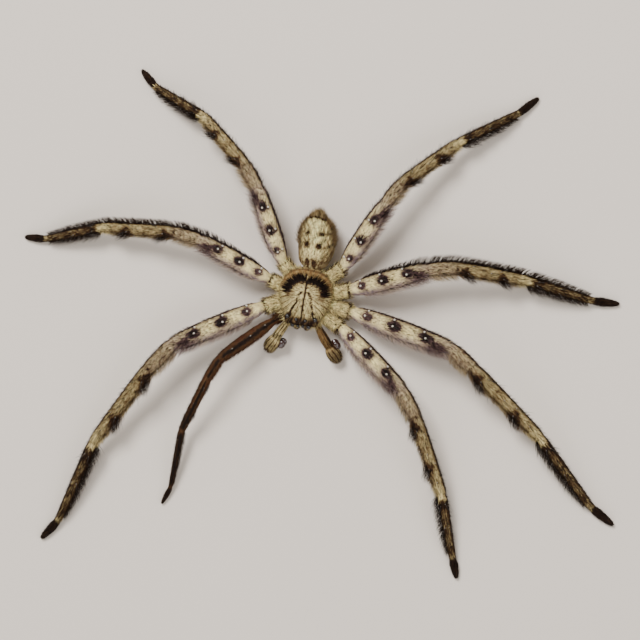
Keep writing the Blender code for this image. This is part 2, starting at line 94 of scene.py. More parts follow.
# %% The shader wrapper
class Wire:
    """One output of a node. Arithmetic on it adds Math nodes, and node() adds any other."""

    def __init__(self, tree, socket=None):
        self.tree = tree
        self.socket = socket

    def node(self, kind, settings=None, sockets=None, out=0):
        """A new node with its settings, then the values or wires of its sockets."""
        made = self.tree.nodes.new(kind)
        for name, value in (settings or {}).items():
            setattr(made, name, value)
        for name, value in (sockets or {}).items():
            if isinstance(value, Wire):
                self.tree.links.new(value.socket, made.inputs[name])
            else:
                made.inputs[name].default_value = value
        return Wire(self.tree, made.outputs[out])

    def maths(self, operation, *values):
        """A Math node on these values."""
        return self.node("ShaderNodeMath", {"operation": operation}, dict(enumerate(values)))

    def __add__(self, other):
        return self.maths("ADD", self, other)

    __radd__ = __add__

    def __sub__(self, other):
        return self.maths("SUBTRACT", self, other)

    def __rsub__(self, other):
        return self.maths("SUBTRACT", other, self)

    def __mul__(self, other):
        return self.maths("MULTIPLY", self, other)

    __rmul__ = __mul__

    def clipped(self):
        """Held between 0 and 1."""
        settings = {"operation": "ADD", "use_clamp": True}
        return self.node("ShaderNodeMath", settings, {0: self, 1: 0.0})

    def attribute(self, name):
        """One of the numbers that travel with the points."""
        return self.node("ShaderNodeAttribute", {"attribute_name": name}, out="Fac")

    def noise(self, place, scale, detail=3.0):
        """A cloudy number round 0.5, finer as the scale grows."""
        sockets = {"Vector": place, "Scale": scale, "Detail": detail, "Roughness": 0.6}
        return self.node("ShaderNodeTexNoise", None, sockets, out="Fac")

    def blend(self, first, second, amount, kind="MIX"):
        """Two colours mixed, and held to 1 because a baked picture can store no more."""
        settings = {"data_type": "RGBA", "blend_type": kind, "clamp_result": True}
        return self.node("ShaderNodeMix", settings, {0: amount, 6: first, 7: second}, out=2)


def paint(code):
    """A colour from its six-figure code, changed from display values v to the linear values that
    shaders use: v / 12.92 below 0.04, and ((v + 0.055) / 1.055) to the power 2.4 above it."""
    shown = np.array([int(code[k:k + 2], 16) for k in (0, 2, 4)]) / 255
    linear = np.where(shown < 0.04045, shown / 12.92, ((shown + 0.055) / 1.055) ** 2.4)
    return (*linear.tolist(), 1.0)


def new_material(name):
    """A material, a wire to build it with, the surface's own coordinates and its shader node."""
    material = bpy.data.materials.new(name)
    material.use_nodes = True
    tree = material.node_tree
    wire = Wire(tree)
    place = wire.node("ShaderNodeTexCoord", out="Object")
    return material, wire, place, tree.nodes["Principled BSDF"]


def connect(shader, name, wire):
    """Feed one socket of a shader from a wire."""
    wire.tree.links.new(wire.socket, shader.inputs[name])


# %% [markdown]
# ## Floor and light
# A plain pale floor and three large soft lamps, as in a studio, show the hair without hard
# shadows. The lamps stand well away, so that the feet get the same light as the body.

# %% Floor and lamps
FLOOR_SIZE = 4.0
SKY_STRENGTH = 0.6
corners = np.array(((-1, -1, 0), (1, -1, 0), (1, 1, 0), (-1, 1, 0))) * FLOOR_SIZE / 2
floor_mesh = bpy.data.meshes.new("floor")
floor_mesh.from_pydata(corners.tolist(), [], [(0, 1, 2, 3)])
floor = bpy.data.objects.new("floor", floor_mesh)
bpy.context.scene.collection.objects.link(floor)
floor_finish, wire, place, shader = new_material("pale_floor")
cloud = wire.noise(place, 6.0)
connect(shader, "Base Color", wire.blend(paint("d3c9be"), paint("cdc2b6"), cloud))
shader.inputs["Roughness"].default_value = 0.9
floor_mesh.materials.append(floor_finish)

world = bpy.data.worlds.new("soft_sky")
world.use_nodes = True
world.node_tree.nodes["Background"].inputs["Color"].default_value = paint("f4f1ec")
world.node_tree.nodes["Background"].inputs["Strength"].default_value = SKY_STRENGTH
bpy.context.scene.world = world

Lamp = namedtuple("Lamp", "name place size power")
LAMPS = (
    Lamp("key", (-0.3, 0.4, 0.7), 0.32, 10.5),
    Lamp("fill", (0.6, -0.2, 0.6), 0.6, 3.0),
    Lamp("front", (-0.1, -0.7, 0.5), 0.6, 2.5),
)
for lamp in LAMPS:
    light = bpy.data.lights.new(lamp.name, "AREA")
    light.size = lamp.size
    light.energy = lamp.power
    holder = bpy.data.objects.new(lamp.name, light)
    away = np.array(lamp.place)
    side = np.cross(UP, away)
    side /= np.linalg.norm(side)
    facing = away / np.linalg.norm(away)
    axes = np.column_stack((side, np.cross(facing, side), facing))
    holder.matrix_world = Matrix.Translation(away) @ Matrix(axes.tolist()).to_4x4()
    bpy.context.scene.collection.objects.link(holder)
print("lamps:", [lamp.name for lamp in LAMPS])

# %% [markdown]
# ## From arrays to meshes
# Each surface is worked out as a whole array of points. Rings of points carried along a line make
# a closed tube, and many tubes join into one mesh. This is quick for hundreds of thousands of
# faces, where adding faces one at a time would take minutes.

# %% Mesh helpers
Patch = namedtuple("Patch", "points quads triangles values")
MASKS = ("dark", "grey", "tan", "red", "lilac", "streak", "along", "lot")
# What a mask is where a piece gives none. The others are 0.
USUAL = {"streak": 0.5}


def tube(rings, values):
    """A closed surface from rings (n, sides, 3) that run anticlockwise about their line. Point
    (i, j) joins (i, j+1), (i+1, j+1) and (i+1, j), and each end closes at its ring's mean."""
    count, sides = rings.shape[:2]
    points = np.concatenate((rings.reshape(-1, 3), rings[:1].mean(axis=1), rings[-1:].mean(axis=1)))
    low = np.arange(count - 1)[:, None] * sides
    now = np.arange(sides)
    after = (now + 1) % sides
    quads = np.stack((low + now, low + after, low + sides + after, low + sides + now), axis=-1)
    end = (count - 1) * sides
    first = np.column_stack((after, now, np.full(sides, count * sides)))
    last = np.column_stack((end + now, end + after, np.full(sides, count * sides + 1)))
    full = {}
    for name in MASKS:
        value = np.broadcast_to(values.get(name, USUAL.get(name, 0.0)), (count, sides)).astype(float)
        full[name] = np.concatenate((value.ravel(), value[:1].mean(axis=1), value[-1:].mean(axis=1)))
    return Patch(points, quads.reshape(-1, 4), np.concatenate((first, last)), full)


def join(patches):
    """Several patches as one: each one's corners are moved up by the points before it."""
    shifts = np.cumsum([0] + [len(patch.points) for patch in patches[:-1]])
    points = np.concatenate([patch.points for patch in patches])
    quads = np.concatenate([patch.quads + shift for patch, shift in zip(patches, shifts)])
    triangles = np.concatenate([patch.triangles + shift for patch, shift in zip(patches, shifts)])
    names = patches[0].values.keys()
    values = {name: np.concatenate([patch.values[name] for patch in patches]) for name in names}
    return Patch(points, quads, triangles, values)


def make_piece(name, patch, material, replaced=()):
    """An object at the origin from a patch in body millimetres: place = (point + body) / 1000."""
    mesh = bpy.data.meshes.new(name)
    points = (patch.points + BODY_AT) * METRES
    mesh.vertices.add(len(points))
    mesh.vertices.foreach_set("co", points.astype(np.float32).ravel())
    corners = np.concatenate((patch.quads.ravel(), patch.triangles.ravel())).astype(np.int32)
    counts = np.repeat((4, 3), (len(patch.quads), len(patch.triangles)))
    mesh.loops.add(len(corners))
    mesh.loops.foreach_set("vertex_index", corners)
    mesh.polygons.add(len(counts))
    starts = np.concatenate(([0], np.cumsum(counts)[:-1])).astype(np.int32)
    mesh.polygons.foreach_set("loop_start", starts)
    mesh.update(calc_edges=True)
    mesh.shade_smooth()
    for mask in MASKS:
        layer = mesh.attributes.new(mask, "FLOAT", "POINT")
        layer.data.foreach_set("value", patch.values[mask].astype(np.float32))
    if "u" in patch.values:
        layer = mesh.uv_layers.new(name="OFBake")
        flat = np.column_stack((patch.values["u"], patch.values["v"]))[corners]
        layer.uv.foreach_set("vector", flat.astype(np.float32).ravel())
    mesh.materials.append(material)
    obj = bpy.data.objects.new(name, mesh)
    bpy.context.scene.collection.objects.link(obj)
    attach(obj, "root")
    if replaced:
        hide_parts(*replaced)
    triangles = 2 * len(patch.quads) + len(patch.triangles)
    print(name, "triangles:", triangles)


# %% [markdown]
# ## Soft steps, bells and lines
# Markings on an animal have soft edges. A bell is dark in its middle and fades on both sides, an
# eased step goes from 0 to 1, and the distance to a drawn line gives a groove or a stripe. The
# same sums colour the skin and the hair, so that the two always agree.


# %% Soft shapes
def bell(value, centre, spread):
    """e to the power -((value - centre) / spread) squared."""
    return np.exp(-(((value - centre) / spread) ** 2))


def round_bell(angle, centre, spread):
    """A bell on a circle of 360 degrees, by the shorter way round."""
    return bell((angle - centre + 180) % 360 - 180, 0, spread)


def ease(value, start, stop):
    """0 before start, 1 after stop, and t squared times (3 - 2t) between them."""
    share = np.clip((value - start) / (stop - start), 0, 1)
    return share * share * (3 - 2 * share)


def max_of(rows):
    """The greatest of several arrays at each place."""
    return np.max(np.broadcast_arrays(*rows), axis=0)


def to_line(points, line):
    """The distance from each point (n, 2) to a line of corners: the least over its segments."""
    best = np.full(len(points), 1e9)
    for start, stop in zip(np.array(line[:-1]), np.array(line[1:])):
        step = stop - start
        share = np.clip((points - start) @ step / (step @ step), 0, 1)
        best = np.minimum(best, np.linalg.norm(points - start - share[:, None] * step, axis=1))
    return best


def to_lines(points, lines):
    """The distance from each point to the nearest of several lines."""
    return np.min([to_line(points, line) for line in lines], axis=0)


def ripple(value, seed, waves=7):
    """A smooth wandering number between -1 and 1: sines of rising pitch and chance phase, summed."""
    draw = np.random.default_rng(seed)
    pitch = 1.0 + 1.7 * np.arange(waves)
    phase = draw.uniform(0, 2 * math.pi, waves)
    total = sum(np.sin(p * value + f) / math.sqrt(p) for p, f in zip(pitch, phase))
    return np.clip(total / 1.6, -1, 1)


# %% [markdown]
# ## The legs
# A leg is a tube along a line with corners at its joints. Six lengths and headings per leg come
# from the picture, and the heights from how such a spider stands. One number, the station, says
# where along the leg a place is: 1.5 is the middle of the thigh, 3.5 the middle of the shin.

# %% Leg sizes
Leg = namedtuple("Leg", "side root hip girth runs headings")
LEGS = {
    "left_1": Leg(1, (1.6, -1.6), (6.5, -4.0), 1.0, (14.3, 4.9, 13.0, 10.7, 3.5),
                  (-36, -54, -63, -72, -70)),
    "left_2": Leg(1, (1.6, -0.4), (7.7, -1.2), 1.05, (17.5, 4.6, 15.4, 14.2, 4.5),
                  (-11, -34, -37, -45, -30)),
    "left_3": Leg(1, (1.6, 0.7), (7.1, 2.3), 1.03, (13.2, 4.7, 11.1, 11.2, 4.3),
                  (23, 12, -1, -8, 2)),
    "left_4": Leg(1, (1.1, 1.9), (5.3, 5.7), 0.98, (12.5, 4.0, 11.4, 10.9, 4.1),
                  (64, 60, 46, 36, 47)),
    "right_1": Leg(-1, (-1.6, -1.45), (-4.6, -4.6), 0.68, (10.5, 3.8, 9.8, 9.8, 3.2),
                   (-135, -113, -110, -94, -111)),
    "right_2": Leg(-1, (-1.6, -0.3), (-6.7, -2.6), 1.05, (15.9, 5.5, 15.5, 14.7, 4.3),
                   (-148, -125, -120, -107, -125)),
    "right_3": Leg(-1, (-1.6, 0.7), (-6.4, 2.0), 0.96, (12.6, 4.5, 12.6, 10.3, 3.7),
                   (159, 172, -176, -161, -177)),
    "right_4": Leg(-1, (-1.0, 1.9), (-4.7, 5.1), 0.98, (12.5, 4.3, 11.0, 10.1, 3.7),
                   (116, 129, 140, 157, 138)),
}
JOINT_HEIGHTS = (2.05, 2.9, 6.0, 6.1, 3.2, 0.95, 0.5)
FEMUR_BOW = 0.45

# Girth along a leg: (station, half width, half height)
LEG_GIRTH = np.array((
    (0.0, 0.6, 0.62), (0.35, 0.95, 0.88), (0.6, 1.3, 1.06), (0.74, 1.08, 0.95),
    (0.88, 1.36, 1.12), (1.0, 1.0, 0.94), (1.1, 1.34, 1.26), (1.3, 1.62, 1.46),
    (1.6, 1.6, 1.4), (1.88, 1.34, 1.16), (2.0, 1.0, 0.97), (2.2, 1.16, 1.05),
    (2.7, 1.16, 1.05), (3.0, 1.02, 0.98), (3.12, 1.1, 1.02), (3.5, 1.06, 0.98),
    (3.88, 0.92, 0.88), (4.0, 0.77, 0.76), (4.1, 0.8, 0.8), (4.5, 0.7, 0.74),
    (4.9, 0.56, 0.62), (5.0, 0.48, 0.52), (5.18, 0.55, 0.55), (5.4, 0.58, 0.58),
    (5.75, 0.5, 0.54), (5.93, 0.36, 0.42), (6.0, 0.26, 0.32),
))
TOE_HEIGHT = ((5.0, 0.95), (5.18, 0.72), (5.4, 0.55), (5.8, 0.5), (6.0, 0.42))
SKIN_SHARE = 0.93
STEP = 0.24
print("legs:", list(LEGS))

# %% [markdown]
# The corners of the line are rounded by averaging each point with its neighbours. A frame of
# three directions goes along with it: forwards, to the left, and up through the back of the leg.

# %% Limb lines
Limb = namedtuple("Limb", "middle along left rise wide high station side")


def unit(rows):
    """Each row divided by its own length."""
    return rows / np.linalg.norm(rows, axis=1, keepdims=True)


def sampled(at, places, rows):
    """Rows known at some places, read off at others along straight lines between them."""
    return np.column_stack([np.interp(at, places, column) for column in rows.T])


def run_along(line):
    """How far along a line each of its points lies: the sum of the steps before it."""
    return np.concatenate(([0], np.cumsum(np.linalg.norm(np.diff(line, axis=0), axis=1))))


def full_turn(sides):
    """Even angles once round: 2 pi k / sides."""
    return 2 * math.pi * np.arange(sides) / sides


def soften(rows, spread):
    """Each row averaged with its neighbours, weighted by a bell. The ends are held in place."""
    reach = max(1, int(3 * spread))
    weight = bell(np.arange(-reach, reach + 1), 0, spread)
    weight /= weight.sum()
    held = np.concatenate((
        2 * rows[:1] - rows[reach:0:-1],
        rows,
        2 * rows[-1:] - rows[-2:-2 - reach:-1],
    ))
    return np.column_stack([np.convolve(column, weight, "valid") for column in held.T])


def carried(line, station, girth, side, step=STEP, spread=3.2):
    """A limb at even steps along a line. forwards is the line's slope, left is up x forwards and
    rise is forwards x left. girth holds rows of (station, half width, half height)."""
    run = run_along(line)
    even = np.linspace(0, run[-1], int(run[-1] / step) + 2)
    middle = soften(sampled(even, run, line), spread)
    where = np.interp(even, run, station)
    along = unit(np.gradient(middle, axis=0))
    left = unit(np.cross(UP, along))
    rise = np.cross(along, left)
    wide = np.interp(where, girth[:, 0], girth[:, 1])
    high = np.interp(where, girth[:, 0], girth[:, 2])
    smooth = soften(np.column_stack((wide, high)), 2.0)
    return Limb(middle, along, left, rise, smooth[:, 0], smooth[:, 1], where, side)


def leg_line(leg):
    """A leg's joints and many points between them: start + run x t, with the thigh raised by its
    bow x 4t(1 - t) and the toe laid down on the ground."""
    joints = [np.array((*leg.root, JOINT_HEIGHTS[0])), np.array((*leg.hip, JOINT_HEIGHTS[1]))]
    for run, heading, height in zip(leg.runs, leg.headings, JOINT_HEIGHTS[2:]):
        turn = math.radians(heading)
        step = run * np.array((math.cos(turn), math.sin(turn)))
        joints.append(np.array((*(joints[-1][:2] + step), height)))
    joints = np.array(joints)
    station = np.linspace(0, 6, 361)
    line = sampled(station, np.arange(7), joints)
    share = np.clip(station - 1, 0, 1)
    line[:, 2] += FEMUR_BOW * 4 * share * (1 - share)
    toe = station >= 5
    line[toe, 2] = np.interp(station[toe], *np.array(TOE_HEIGHT).T)
    return line, station


JOINT_WAISTS = (
    # station, spread, depth
    (1.0, 0.05, 0.18), (2.0, 0.035, 0.1), (3.0, 0.03, 0.06), (4.0, 0.03, 0.14), (5.0, 0.05, 0.12),
)


def pinch(station):
    """Joints are slimmer than what they join: 1 minus a narrow bell at each joint."""
    return 1 - sum(depth * bell(station, joint, spread) for joint, spread, depth in JOINT_WAISTS)


def leg_limb(leg):
    """A leg's limb: its girth x the skin's share x the joints' waists, blunt at the end as
    the square root of 1 minus t squared."""
    line, station = leg_line(leg)
    limb = carried(line, station, LEG_GIRTH, leg.side)
    blunt = np.sqrt(np.clip(1 - ((limb.station - 5.86) / 0.15).clip(0, 1) ** 2, 0.02, 1))
    size = SKIN_SHARE * leg.girth * pinch(limb.station) * blunt
    return limb._replace(wide=limb.wide * size, high=limb.high * size)


LIMBS = {name: leg_limb(leg) for name, leg in LEGS.items()}
print("points along each leg:", {name: len(limb.middle) for name, limb in LIMBS.items()})

# %% [markdown]
# Angles round a leg start at its rear edge and go over the top to its front edge, on the left and
# on the right alike, so that one rule for a marking serves all eight legs.


# %% Places round a limb
def rings_of(limb, sides):
    """Rings of points: middle + wide cos(a) left + high sin(a) rise, and the angle of each from
    the rear edge, which is a on the animal's left and 180 - a on its right."""
    turn = full_turn(sides)
    across = (limb.wide[:, None] * np.cos(turn))[..., None] * limb.left[:, None]
    upwards = (limb.high[:, None] * np.sin(turn))[..., None] * limb.rise[:, None]
    angle = np.degrees(turn) if limb.side > 0 else 180 - np.degrees(turn)
    rings = limb.middle[:, None] + across + upwards
    return rings, np.broadcast_to(angle % 360, rings.shape[:2])


def places_on(limb, run, angle):
    """Points, ways out, ways forward and stations on a limb's skin, at run (0 to 1) and angle
    (degrees). The way out is high cos(a) left + wide sin(a) rise, made unit long."""
    index = run * (len(limb.middle) - 1)
    rows = np.arange(len(limb.middle))
    middle, along, left, rise = (
        sampled(index, rows, field) for field in (limb.middle, limb.along, limb.left, limb.rise)
    )
    turn = np.radians(angle if limb.side > 0 else 180 - angle)
    cos, sin = np.cos(turn)[:, None], np.sin(turn)[:, None]
    wide, high = (np.interp(index, rows, size)[:, None] for size in (limb.wide, limb.high))
    out = unit(high * cos * left + wide * sin * rise)
    station = np.interp(index, rows, limb.station)
    return middle + wide * cos * left + high * sin * rise, out, along, station


# %% [markdown]
# ## Markings of the legs
# Seven legs have a cream thigh that is lilac grey in front and below, and a khaki shin. The thigh
# has three dark blotches round its spines, the shin three along its front, and the foot is nearly
# black with pale lines. The right foreleg is taken for one that has grown again after a loss: it
# is small, reddish brown and has no blotches.

# %% Leg markings
FEMUR_BLOTCHES = (
    # share, spread along, angle, spread round, strength
    (0.185, 0.072, 104, 36, 1.5), (0.165, 0.040, 66, 18, 0.9), (0.20, 0.075, 142, 34, 0.6),
    (0.455, 0.085, 104, 38, 1.6), (0.43, 0.046, 66, 19, 1.1), (0.48, 0.090, 144, 36, 0.65),
    (0.765, 0.090, 104, 40, 1.65), (0.72, 0.050, 68, 19, 1.0), (0.80, 0.100, 146, 38, 0.8),
    (0.88, 0.120, 134, 52, 1.2),
)
TIBIA_BLOTCHES = (
    (0.10, 0.090, 138, 52, 1.8), (0.12, 0.060, 85, 26, 1.0), (0.38, 0.060, 165, 26, 1.1),
    (0.66, 0.095, 138, 54, 1.8), (0.64, 0.070, 85, 26, 1.1),
    (0.36, 0.100, 74, 9, 0.95), (0.36, 0.100, 108, 9, 0.9),
)


def blotches(share, angle, rows):
    """The darkest of several spots, each strength x bell along x bell round, less a little."""
    spots = [s * bell(share, c, w) * round_bell(angle, a, r) for c, w, a, r, s in rows]
    return np.clip(np.max(spots, axis=0) - 0.14, 0, 1)


def lengthwise(station, angle, seed):
    """Fine streaks along a leg: a ripple of the angle that drifts with the station."""
    return ripple(angle * 0.55 + 1.3 * np.sin(station * 7.0) + 0.8 * np.sin(station * 17.0), seed)


# %% Colours of the pale legs
def blotch_roll(name):
    """How many degrees a thigh's blotches and spines are rolled towards its rear edge."""
    return 6 if name.endswith("4") else 20


def leg_masks(station, angle, roll):
    """How dark, grey, tan and lilac a pale leg is at a station and an angle. Each of its six pieces is
    as dark as the darkest of its spots, streaks and lines, with painted shade at the hip's pinches and
    the rear edge, and has its own grey."""
    piece = np.clip(np.floor(station), 0, 5)
    share = station - piece
    under = ease(angle, 92, 142) * (1 - 0.5 * ease(angle, 315, 345))
    # The line along the rear edge is partly the dark fringe hair there and partly a painted shadow along
    # the leg's edge.
    rear_edge_line_and_shade = 0.95 * round_bell(angle, 15, 24) * ease(station, 1.02, 1.08)
    streak = lengthwise(station, angle, 3) * 0.5 + 0.5
    lines = ease(streak, 0.5, 0.85)
    ragged = 0.95 + 0.1 * ripple(angle * 0.21 + 25 * station, 17) + 0.5 * (0.5 - streak)
    bulge = 0.05 * np.sin(np.radians(angle))

    mottle = 0.5 + 0.5 * ripple(station * 31 + 0.9 * np.sin(angle * 0.13), 19)
    # The hip's dark arcs at its two pinches are partly dark joint lines and partly painted shade in the
    # creases. Its dark rear and front sides are painted shade between neighbouring hips.
    coxa_dark_and_pinch_shade = max_of([
        bell(share, 0.94 + bulge, 0.04), 0.3 * bell(share, 0.68 + bulge, 0.04),
        0.9 * round_bell(angle, 12, 24), 0.8 * round_bell(angle, 178, 16), 0.45 * lines * mottle,
    ])
    coxa_dark_and_pinch_shade = coxa_dark_and_pinch_shade * ease(share, 0.3, 0.5)
    femur_lines = lines * (0.2 + 0.35 * round_bell(angle, 50, 40))
    femur_lines = femur_lines * (0.7 + 0.3 * ripple(station * 9, 18))
    femur_dark = max_of([ragged * blotches(share, angle + roll, FEMUR_BLOTCHES), femur_lines])
    femur_grey = np.maximum(0.9 * under, 0.55 * ease(share, 0.8, 0.98))
    patella_dark = 0.08 + 0.35 * lines + 0.3 * mottle * round_bell(angle, 100, 70)
    patella_dark = patella_dark + 0.4 * bell(share, 1.0, 0.05)
    plain = 1 - 0.4 * ease(share, 0.86, 0.94)
    tibia_lines = (0.2 + 0.65 * lines * mottle) * (0.75 + 0.5 * round_bell(angle, 158, 30)) * plain
    tibia_dark = max_of([ragged * blotches(share, angle, TIBIA_BLOTCHES), tibia_lines])
    tibia_grey = 0.62 * plain + 0.2 * under
    pale_lines = round_bell(angle, 66, 7) + round_bell(angle, 97, 6) + 0.8 * round_bell(angle, 124, 6)
    broken = np.clip(pale_lines, 0, 1) * (0.55 + 0.45 * ripple(station * 31.0 + angle * 0.1, 9))
    foot_dark = 0.55 + 0.4 * lines + 0.2 * mottle - 0.7 * broken + 0.3 * bell(share, 0.15, 0.12)
    start = 0.03 + 0.05 * streak
    foot_dark = np.clip(foot_dark, 0.05, 0.97) * ease(share, start, start + 0.05)
    foot_dark = foot_dark * (1 - 0.7 * ease(share, 0.965, 0.985))
    toe_dark = (0.95 + 0.15 * lines - 0.2 * broken) * ease(share, 0.0, 0.04)

    kinds = (coxa_dark_and_pinch_shade, femur_dark, patella_dark, tibia_dark, foot_dark, toe_dark)
    dark = np.maximum(np.choose(piece.astype(int), kinds), rear_edge_line_and_shade)
    greys = (0.15 * under, femur_grey, 0.5 + 0.2 * under, tibia_grey, 0.65, 0.6)
    tans = (0.12, 0.03, 0.1 + 0.15 * streak, 0.1 * plain, 0.15, 0.1)
    greys, tans = ([np.broadcast_to(value, dark.shape) for value in row] for row in (greys, tans))
    lilac = 1 - 0.55 * ease(station, 1.9, 2.2) - 0.45 * ease(station, 2.8, 3.2)
    return {
        "dark": np.clip(dark, 0, 1),
        "grey": np.clip(np.choose(piece.astype(int), greys), 0, 1),
        "tan": np.choose(piece.astype(int), tans) + 0.35 * rear_edge_line_and_shade,
        "lilac": ease(station, 0.95, 1.1) * lilac,
        "streak": streak,
    }


# %% Colours of the regrown leg
def regrown_masks(station, angle):
    """The regrown leg: red brown, with lengthwise dark bands and a thin pale line between them."""
    streak = lengthwise(station, angle, 8) * 0.5 + 0.5
    pale = 0.4 * round_bell(angle, 78, 6) * ease(station, 2.7, 3.1) * (0.5 + 0.5 * streak)
    band = round_bell(angle, 96, 17) * (1 - 0.5 * bell(station, 2.5, 0.4))
    edges = round_bell(angle, 0, 34) + round_bell(angle, 180, 34)
    dark = 0.45 + 0.35 * streak + 0.85 * band - 0.12 * edges + 0.35 * ease(station, 3.0, 4.2) - pale
    joint = sum(bell(station, at, 0.03) for at in (2, 3, 4, 5))
    return {
        "dark": np.clip(dark, 0, 1) * (1 - 0.5 * joint),
        "grey": 0.5 * pale,
        "tan": 0.6 * pale + 0.5 * joint,
        "red": np.clip(1 - 0.8 * pale, 0, 1) + 0 * dark,
        "streak": streak,
    }


def masks_for(name, station, angle):
    """The masks of one leg, by its name."""
    if name == "right_1":
        return regrown_masks(station, angle)
    return leg_masks(station, angle, blotch_roll(name))


# %% [markdown]
# ## The skin
# One mesh holds the whole body. Each part of it is a closed tube that runs into its neighbour, as
# the plates of a real spider overlap. A smooth skin over everything would lose the waist and the
# joints. First come the legs, then the front body and its underside, the rear body and the
# spinnerets, the jaws and the feelers.

# %% Leg skin
SOLE = 0.06
LEG_SIDES = 28
skin_parts = []
for name, limb in LIMBS.items():
    rings, angle = rings_of(limb, LEG_SIDES)
    rings[..., 2] = np.maximum(rings[..., 2], SOLE)
    station = np.broadcast_to(limb.station[:, None], angle.shape)
    skin_parts.append(tube(rings, masks_for(name, station, angle)))
print("leg skin points:", sum(len(part.points) for part in skin_parts))

# %% [markdown]
# The front body is a low shield with a domed back, a groove down its middle, two more that frame
# the head, and a flat underside. Its markings are drawn as lines seen from above.

# %% Front body sizes
SHIELD = np.array((
    # y, half width, top
    (-4.85, 2.25, 4.75), (-4.4, 2.75, 5.15), (-3.3, 3.2, 5.45), (-1.8, 3.85, 5.6),
    (0.0, 4.4, 5.65), (1.5, 4.45, 5.5), (2.9, 4.0, 5.2), (4.0, 3.05, 4.75),
    (4.65, 1.9, 4.35), (4.85, 1.0, 4.15),
))
SHIELD_END = 4.85
SHIELD_BASE = 3.4
SHIELD_RIM = 3.85
COAT_DEPTH = 0.17
FOVEA = (0.0, 0.55)
MIDLINE = ((-0.02, 2.58), (0.0, 0.5), (-0.05, -3.9))
HEAD_GROOVES = (
    ((-0.55, 0.75), (-1.02, 0.16), (-1.2, -1.02), (-1.87, -2.41), (-1.96, -3.4)),
    ((0.5, 0.8), (0.95, 0.32), (1.11, -0.69), (1.59, -1.93), (2.0, -3.48)),
)
CRESCENTS = (
    ((-0.4, 2.95), (-1.4, 2.85), (-2.15, 2.4), (-2.75, 1.65), (-3.05, 0.95)),
    ((0.39, 2.8), (1.4, 2.8), (2.2, 2.45), (2.8, 1.95), (3.1, 1.35), (3.2, 0.95)),
)
HEAD_SMUDGES = (
    (-2.6, -3.8), (-2.1, -3.2), (-1.55, -4.35), (-0.75, -3.9), (1.9, -3.9), (1.2, -4.3),
)
Eye = namedtuple("Eye", "row radius x y z")
EYES = (
    Eye("front_middle", 0.27, 0.42, -4.78, 4.42),
    Eye("front_side", 0.38, 1.35, -4.72, 4.32),
    Eye("rear_middle", 0.27, 0.75, -3.8, 5.28),
    Eye("rear_side", 0.40, 2.3, -3.45, 4.98),
)
print("eyes on each side:", [eye.row for eye in EYES])


# %% Front body colours
def crescent_radius(bearing):
    """How far from the groove's deepest place the black crescent lies, by bearing from the rear."""
    left_line = np.array(CRESCENTS[1]) - FOVEA
    right_line = np.array(CRESCENTS[0][::-1]) - FOVEA
    line = np.concatenate((right_line, left_line))
    bearings = np.degrees(np.arctan2(line[:, 0], line[:, 1]))
    return np.interp(bearing, bearings, np.linalg.norm(line, axis=1))


def shield_masks(points):
    """Colours of the front body by place. Streaks fan out from the fovea: a ripple of bearing."""
    x, y, z = points.T
    plan = points[:, :2]
    radius = np.hypot(x - FOVEA[0], y - FOVEA[1])
    bearing = np.degrees(np.arctan2(x - FOVEA[0], y - FOVEA[1]))
    top = ease(z, 3.9, 4.3)
    streak = 0.5 + 0.5 * ripple(bearing * 0.45 + 0.6 * np.sin(radius * 2.1), 21)
    ragged = 0.24 * ripple(bearing * 1.1, 5) + 0.16 * ripple(bearing * 0.35 + radius, 6)
    crescent = ease(to_lines(plan, CRESCENTS) + ragged, 0.82, 0.6) * (1 - 0.9 * bell(x, 0.0, 0.13))
    grooves = ease(to_lines(plan, HEAD_GROOVES) + 0.4 * ragged, 0.22, 0.1)
    middle = ease(to_line(plan, MIDLINE) + 0.3 * ragged, 0.24, 0.1) + bell(radius, 0, 0.34)
    rear = ease(abs(bearing), 96, 66)
    edge = crescent_radius(bearing)
    rim = ease(radius, edge + 0.35, edge + 0.75) * rear
    inner = ease(radius, edge - 1.7, edge - 0.4) * (1 - ease(radius, edge, edge + 0.3))
    inner = inner * ease(abs(bearing), 125, 95)
    head = ease(y, -2.9, -4.0)
    eyes = max_of([bell(np.hypot(abs(x) - eye.x, y - eye.y), 0, eye.radius + 0.3) for eye in EYES])
    smudges = max_of([bell(np.hypot(x - sx, y - sy), 0, 0.5) for sx, sy in HEAD_SMUDGES])
    face = ease(y, -4.3, -4.6)
    dark = max_of([
        crescent,
        0.95 * grooves * ease(y, 1.2, 0.8),
        middle,
        head * np.clip(0.3 + 0.5 * eyes + 0.8 * ease(streak, 0.35, 0.7), 0, 1),
        smudges,
        face,
        0.8 * inner * (0.35 + 0.65 * streak),
        0.62 * ease(streak, 0.45, 0.85) * ease(radius, 0.3, 1.2) * (1 - rim),
        0.65 * rim * ease(radius, edge + 1.2, edge + 1.5),
        0.5 * rim * ease(streak, 0.5, 0.8),
    ])
    side = 1 - top
    return {
        "dark": np.clip(dark, 0, 1) * top + 0.25 * side,
        "grey": (0.5 * streak + 0.12 + 0.3 * rim) * top + 0.3 * side,
        "tan": np.clip((0.6 + 0.3 * streak) * rim + 0.4 * head + 0.3 * inner, 0, 1) * top + 0.4 * side,
        "red": np.clip(0.5 * inner * streak + 0.3 * rim * streak + 0.35 * head, 0, 1) * top,
        "streak": streak,
    }


